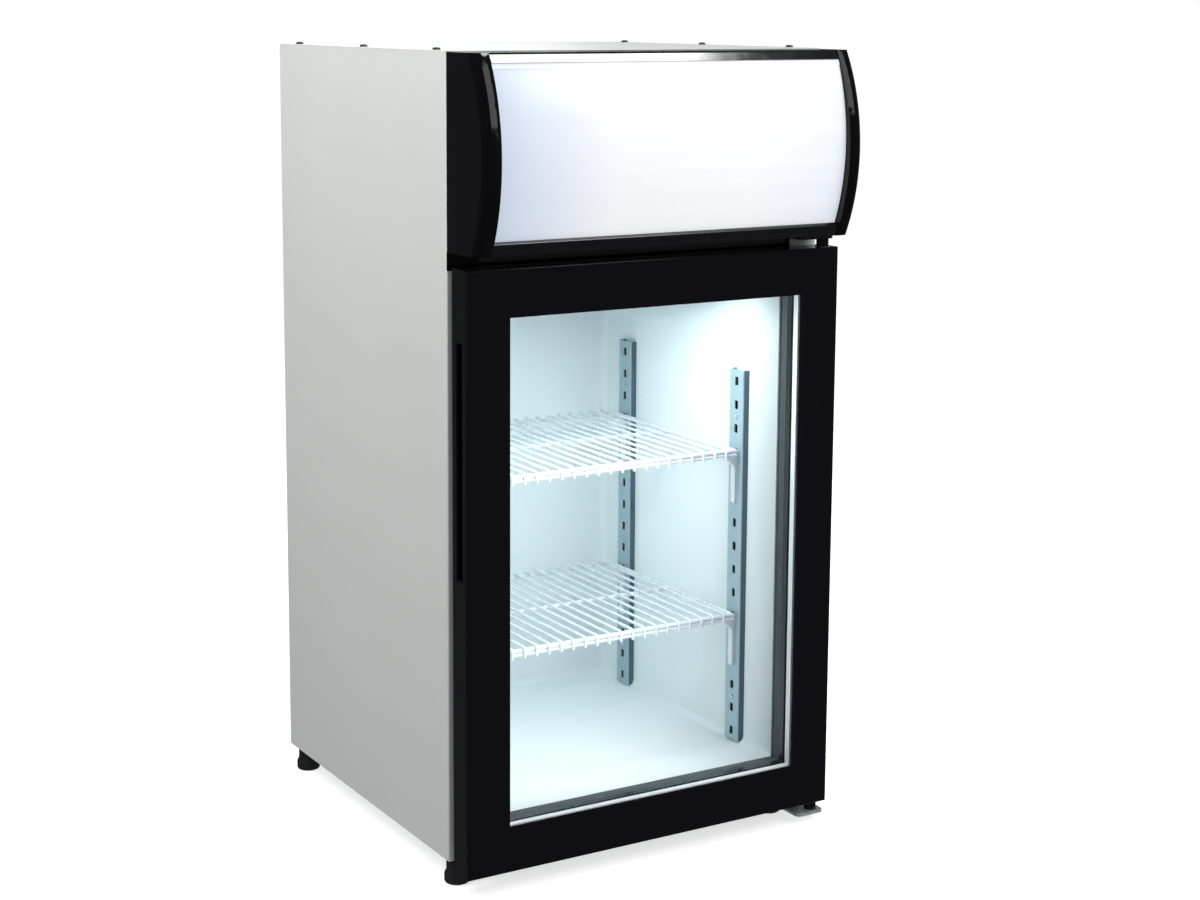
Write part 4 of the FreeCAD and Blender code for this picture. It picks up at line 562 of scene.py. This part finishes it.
def add_shank(bm, at, outward, radius, length):
    """A threaded shank that runs inwards from the seat to a blunt point."""
    turns = 9
    pitch = length / (turns + 1)
    root = 0.78 * radius
    profile = [(radius, 0)]
    for k in range(turns):
        valley = (k + 0.3) * pitch
        crest = valley + 0.45 * pitch
        profile += [(root, -valley), (radius, -crest)]
    profile += [(0.6 * radius, -0.95 * length), (0.2 * radius, -length)]
    made = bridge(bm, turned(profile, 16, at, outward), closed=True)
    bm.faces.new(made[0])
    bm.faces.new(made[-1])


def screw_shape(corners):
    """Seat, outward direction, and radius and length of the head and of the shank of a CAD screw."""
    low, high = extent(corners)
    axis = max(range(3), key=lambda i: high[i] - low[i])
    centre = (low + high) / 2

    def reach(corner):
        return math.hypot(*[corner[i] - centre[i] for i in range(3) if i != axis])

    head_radius = max(map(reach, corners))
    head = [c for c in corners if reach(c) > 0.9 * head_radius]
    head_middle = sum(c[axis] for c in head) / len(head)
    sign = 1 if head_middle > centre[axis] else -1
    outward = Vector(sign if i == axis else 0 for i in range(3))
    inner = min(sign * c[axis] for c in head)
    outer = max(sign * c[axis] for c in head)
    seat = centre.copy()
    seat[axis] = sign * inner
    shank = [reach(c) for c in corners if sign * c[axis] < inner - 0.1 * MM]
    length = inner - min(sign * c[axis] for c in corners)
    return seat, outward, head_radius, outer - inner, max(shank), length


def detailed_screws(node, body="cabinet"):
    """Pan head screws with a cross recess in the place of a node's plain ones."""
    bm = bmesh.new()
    for k, corners in enumerate(islands(node)):
        seat, outward, head_radius, head_high, shank_radius, length = screw_shape(corners)
        add_head(bm, seat, outward, head_radius, head_high, twist=0.7 + 1.3 * k)
        add_shank(bm, seat, outward, shank_radius, length)
    slot = next(p["material_slot"] for p in frame["record"]["subparts"] if p["node"] == node)
    return new_piece(node + "_detailed", bm, body, slot, replaced=node)


def rear_screws():
    """Pan head screws around the edges of the back panel and the louvred cover."""
    low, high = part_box("rear_grille")
    panel_low, panel_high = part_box("back_panel")
    from_side, from_end = 6 * MM, 12 * MM
    radius, tall = 3.6 * MM, 2.2 * MM
    heights = [low.z + from_end, high.z - from_end]
    heights += [panel_low.z + share * (panel_high.z - panel_low.z) for share in (0.04, 0.5, 0.97)]
    places = [Vector((x, high.y, z)) for z in heights for x in (low.x + from_side, high.x - from_side)]
    bm = bmesh.new()
    for k, place in enumerate(places):
        add_head(bm, place, Vector((0, 1, 0)), radius, tall, twist=0.4 + 1.1 * k)
    return new_piece("rear_screws", bm, "cabinet", "screw_dark")


# ---------------------------------------------------------------- door seal, liner and louvres

SEAL_SIDE = [
    (0.95, 0.0), (1.0, 0.10), (0.90, 0.22), (0.80, 0.30), (0.92, 0.42), (0.90, 0.52), (0.74, 0.60),
    (0.80, 0.68), (0.98, 0.78), (0.98, 0.92), (0.90, 1.0),
]


def door_seal():
    """Bellows seal with a magnet pocket, mitred at its corners.

    SEAL_SIDE is one side of its section, as (inset, depth) from 0 to 1. The other side mirrors it.
    """
    low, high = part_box("door_gasket")
    inner, outer = levels("door_gasket", 0)[-2:]
    width = outer - inner
    section = SEAL_SIDE + [(1 - across, depth) for across, depth in reversed(SEAL_SIDE)]
    bm = bmesh.new()
    rows = []
    for side, end in ((-1, -1), (1, -1), (1, 1), (-1, 1)):
        row = []
        for across, depth in section:
            inset = across * width
            x = side * (high.x - inset)
            z = low.z + inset if end < 0 else high.z - inset
            row.append((x, low.y + depth * (high.y - low.y), z))
        rows.append(row)
    bridge(bm, rows + rows[:1], closed=True)
    bmesh.ops.remove_doubles(bm, verts=bm.verts, dist=HAIR)
    return new_piece("door_seal", bm, "door", "gasket_grey", replaced="door_gasket", smooth=False)


def rounded_liner():
    """One-piece lining with coved corners, formed as a shell that is open at the front."""
    low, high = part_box("inner_liner")
    outside, inside = levels("inner_liner", 0)[:2]
    skin = inside - outside
    cove = 9 * MM
    inner_low = low + Vector((skin, 0, skin))
    inner_high = high - Vector((skin, skin, skin))
    size = inner_high - inner_low
    bm = bmesh.new()
    middle = Matrix.Translation((inner_low + inner_high) / 2)
    bmesh.ops.create_cube(bm, size=1, matrix=middle @ Matrix.Diagonal((*size, 1)))
    front = [f for f in bm.faces if f.calc_center_median().y < inner_low.y + HAIR]
    bmesh.ops.delete(bm, geom=front, context="FACES_ONLY")
    corners = [e for e in bm.edges if not e.is_boundary]
    bmesh.ops.bevel(bm, geom=corners, offset=cove, segments=6, profile=0.5, affect="EDGES")
    liner = new_piece("cold_space_liner", bm, "cabinet", "liner_white", replaced="inner_liner")
    wall = liner.data.polygons[0]
    if wall.normal.dot(wall.center - middle.translation) > 0:
        liner.data.flip_normals()
    shell = liner.modifiers.new("skin", "SOLIDIFY")
    shell.thickness = skin
    shell.offset = -1
    return liner


def louvre_hoods():
    """Pressed hoods over the slots of the rear cover, open at their lower edge."""
    rows = levels("rear_grille", 2, least=8)
    sides = levels("rear_grille", 0, least=2 * len(rows))
    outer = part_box("rear_grille")[1].y
    reach, above, sheet = 3.4 * MM, 3 * MM, 0.6 * MM
    spans, drops = 16, 6
    bm = bmesh.new()
    for left, right in zip(sides[::2], sides[1::2]):
        for low, high in zip(rows[::2], rows[1::2]):
            grid = []
            for i in range(spans + 1):
                across = i / spans
                end = math.sqrt(max(0.0, 1 - abs(2 * across - 1) ** 8))
                row = []
                for j in range(drops + 1):
                    down = j / drops
                    out = reach * end * math.sin(down * math.pi / 2)
                    z = high + above - down * (high + above - low)
                    row.append((left + across * (right - left), outer + out, z))
                grid.append(row)
            bridge(bm, grid)
    hoods = new_piece("louvre_hoods", bm, "cabinet", "galvanised")
    shell = hoods.modifiers.new("sheet", "SOLIDIFY")
    shell.thickness = sheet
    shell.offset = 0
    return hoods


def sealing_tapes():
    """Dark butyl tape between each shelf pilaster and the wall behind it."""
    lift, thick, edge = 0.1 * MM, 1 * MM, 0.3 * MM
    from_side, from_end = 1.6 * MM, 2 * MM
    for name, side in (("pilasters_left", -1), ("pilasters_right", 1)):
        for k, corners in enumerate(sorted(islands(name), key=lambda strip: strip[0].y)):
            low, high = extent(corners)
            wall = low.x if side < 0 else high.x
            near, far = sorted((wall - side * lift, wall - side * (lift + thick)))
            bm = slab(Vector((near, low.y + from_side, low.z + from_end)),
                      Vector((far, high.y - from_side, high.z - from_end)), edge)
            new_piece(f"{name}_tape_{k}", bm, "cabinet", "foot_black", smooth=False)


def sign_clamp():
    """Strip that clamps the top of the sign sheet and follows its bow."""
    low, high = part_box("sign_panel")
    sheet, lift, thick = 2 * MM, 0.05 * MM, 0.85 * MM
    tall, from_end, steps = 7 * MM, 0.5 * MM, 6
    half_chord = (high.z - low.z) / 2
    rise = high.y - low.y - sheet
    radius = (rise**2 + half_chord**2) / (2 * rise)
    centre_y = low.y + radius
    centre_z = (low.z + high.z) / 2
    top = math.asin(half_chord / radius)
    angles = [top - tall / radius * (1 - k / steps) for k in range(steps + 1)]
    section = [(radius + lift + thick, angle) for angle in angles]
    section += [(radius + lift, angle) for angle in reversed(angles)]
    rows = []
    for x in (low.x + from_end, high.x - from_end):
        rows.append([(x, centre_y - reach * math.cos(angle), centre_z + reach * math.sin(angle))
                     for reach, angle in section])
    bm = bmesh.new()
    made = bridge(bm, rows, closed=True)
    bm.faces.new(made[0])
    bm.faces.new(made[-1])
    # The strip shares the sign's material, so it carries the same painted glow.
    return new_piece("sign_clamp", bm, "cabinet", "sign_white", smooth=False)


def flange_shade_sheet():
    """Black sheet over the front flange of the left side panel, between the canopy and the door: painted
    shade where the white flange lies in the canopy's shadow.
    """
    panel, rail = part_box("side_panel_left")[0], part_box("header_rail")[0]
    thick, edge, behind_door = 0.6 * MM, 0.2 * MM, 4 * MM
    low = Vector((panel.x, panel.y - thick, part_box("door_frame")[1].z - behind_door))
    high = Vector((rail.x, panel.y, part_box("canopy_cap_left")[0].z))
    # painted shade: the sheet is black where only shadow falls on the white flange
    return new_piece("flange_shade_sheet", slab(low, high, edge), "cabinet", "cap_black", smooth=False)


WELD_REACH = 0.005 * MM
SHARPEST = math.radians(40)
SOFT_EDGES = {
    0.35 * MM: ("side_panel_left", "side_panel_right", "top_panel", "back_panel"),
    1.0 * MM: ("door_frame",),
    0.5 * MM: ("lower_hinge_bracket", "upper_hinge_bracket", "canopy_bottom_rail",
               "door_liner", "inner_frame", "thermostat", "evaporator_cover", "lamp_holders"),
    0.25 * MM: ("pilasters_left", "pilasters_right", "shelf_clips", "canopy_top_rail", "switch_bezel",
                "light_switch", "door_grip", "fan_shroud", "sign_panel"),
    0.8 * MM: ("canopy_cap_left", "canopy_cap_right", "feet"),
}


def soften_edges():
    """Small rounded edges on the sheet metal, profiles and mouldings, so that they catch the light."""
    for width, names in SOFT_EDGES.items():
        for name in names:
            node = NODES[name]
            weld = node.modifiers.new("weld", "WELD")
            weld.merge_threshold = WELD_REACH
            edge = node.modifiers.new("edge", "BEVEL")
            edge.width = width
            edge.segments = 2
            edge.limit_method = "ANGLE"
            edge.angle_limit = SHARPEST
            edge.harden_normals = True


# ---------------------------------------------------------------- lights, floor and camera

COLD_WHITE = (0.88, 0.98, 1.0)
FILL_WHITE = (0.90, 0.98, 1.0)


def area_light(name, place, target, size, power, color=(1, 1, 1)):
    """A rectangular lamp of some watts that stands at a place and faces a target."""
    light = bpy.data.lights.new(name, "AREA")
    light.shape = "RECTANGLE"
    light.size, light.size_y = size
    light.energy = power
    light.color = color
    stand = bpy.data.objects.new(name, light)
    stand.location = place
    stand.rotation_euler = (Vector(target) - stand.location).to_track_quat("-Z", "Y").to_euler()
    bpy.context.scene.collection.objects.link(stand)
    return stand


def lights():
    """Soft studio light, the cool lamp under the ceiling of the cold space and its fill at the door."""
    middle = (0, 0, 0.42)
    area_light("key", (0.9, -2.2, 2.0), middle, (1.6, 1.6), 26)
    side = area_light("side_fill", (-1.05, 0.0, 1.45), (-0.21, 0, 0.78), (0.7, 0.9), 11)
    area_light("ceiling", (0.85, -0.78, 2.55), (0.85, -0.78, 0), (0.9, 0.36), 20)
    area_light("back", (0.6, 2.4, 1.6), middle, (1.6, 1.2), 10)
    low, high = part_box("inner_liner")
    lamp_y = (low.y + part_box("evaporator_cover")[0].y) / 2
    area_light("cold_lamp", (0, lamp_y, high.z - 12 * MM), (0, lamp_y + 20 * MM, low.z),
               (0.22, 0.07), 1.0, COLD_WHITE)
    fill = area_light("cold_fill", (-0.04, low.y + 15 * MM, 0.28), (0, high.y, 0.24),
                      (0.22, 0.34), 0.28, FILL_WHITE)
    fill.visible_camera = False
    for stand in (side, fill):
        stand.visible_glossy = False


def world():
    """White surroundings for the eye, weaker ones for lighting and weaker still in reflections."""
    made = bpy.data.worlds.new("studio")
    made.use_nodes = True
    nodes, links = made.node_tree.nodes, made.node_tree.links
    background = nodes["Background"]
    background.inputs["Color"].default_value = (0.97, 0.98, 1.0, 1)
    path = nodes.new("ShaderNodeLightPath")

    def choose(flag, seen):
        """A Mix node that gives the strength seen to one kind of ray."""
        pick = nodes.new("ShaderNodeMix")
        pick.data_type = "FLOAT"
        links.new(path.outputs[flag], pick.inputs["Factor"])
        pick.inputs["B"].default_value = seen
        return pick

    mirrored = choose("Is Glossy Ray", 0.08)
    mirrored.inputs["A"].default_value = 0.42
    direct = choose("Is Camera Ray", 1.05)
    links.new(mirrored.outputs["Result"], direct.inputs["A"])
    links.new(direct.outputs["Result"], background.inputs["Strength"])
    bpy.context.scene.world = made


def floor():
    """Plain pale floor with a faint mottling."""
    mesh = bpy.data.meshes.new("floor")
    reach = 12.0
    corners = [(-reach, -reach, 0), (reach, -reach, 0), (reach, reach, 0), (-reach, reach, 0)]
    mesh.from_pydata(corners, [], [(0, 1, 2, 3)])
    ground = bpy.data.objects.new("floor", mesh)
    bpy.context.scene.collection.objects.link(ground)
    look = Surface("floor_pale", (0.90, 0.90, 0.90), 0.7, Specular_IOR_Level=0.0,
                Emission_Color=(1, 1, 1, 1), Emission_Strength=0.65)
    look.tint(look.noise(2), (0.88, 0.88, 0.88))
    mesh.materials.append(look.material)
    ground.visible_glossy = False
    ground.visible_diffuse = False


def camera():
    """The camera stands to the front left, a little above the middle of the cabinet."""
    data = bpy.data.cameras.new("camera")
    data.lens = 63.54
    data.sensor_width = 36
    data.shift_x = 0.03
    data.shift_y = -0.10
    view = bpy.data.objects.new("camera", data)
    view.location = (-1.0956, -1.8805, 0.8381)
    yaw, pitch, roll = (math.radians(angle) for angle in (-30.40, 8.66, 0.23))
    turn = Matrix.Rotation(yaw, 4, "Z") @ Matrix.Rotation(math.pi / 2 - pitch, 4, "X")
    view.rotation_euler = (turn @ Matrix.Rotation(roll, 4, "Z")).to_euler()
    bpy.context.scene.collection.objects.link(view)
    bpy.context.scene.camera = view


paint_nodes()
detailed_screws("pan_screws")
rear_screws()
door_seal()
rounded_liner()
louvre_hoods()
sealing_tapes()
sign_clamp()
flange_shade_sheet()
soften_edges()
world()
floor()
lights()
camera()

bpy.context.scene.view_settings.view_transform = "Standard"
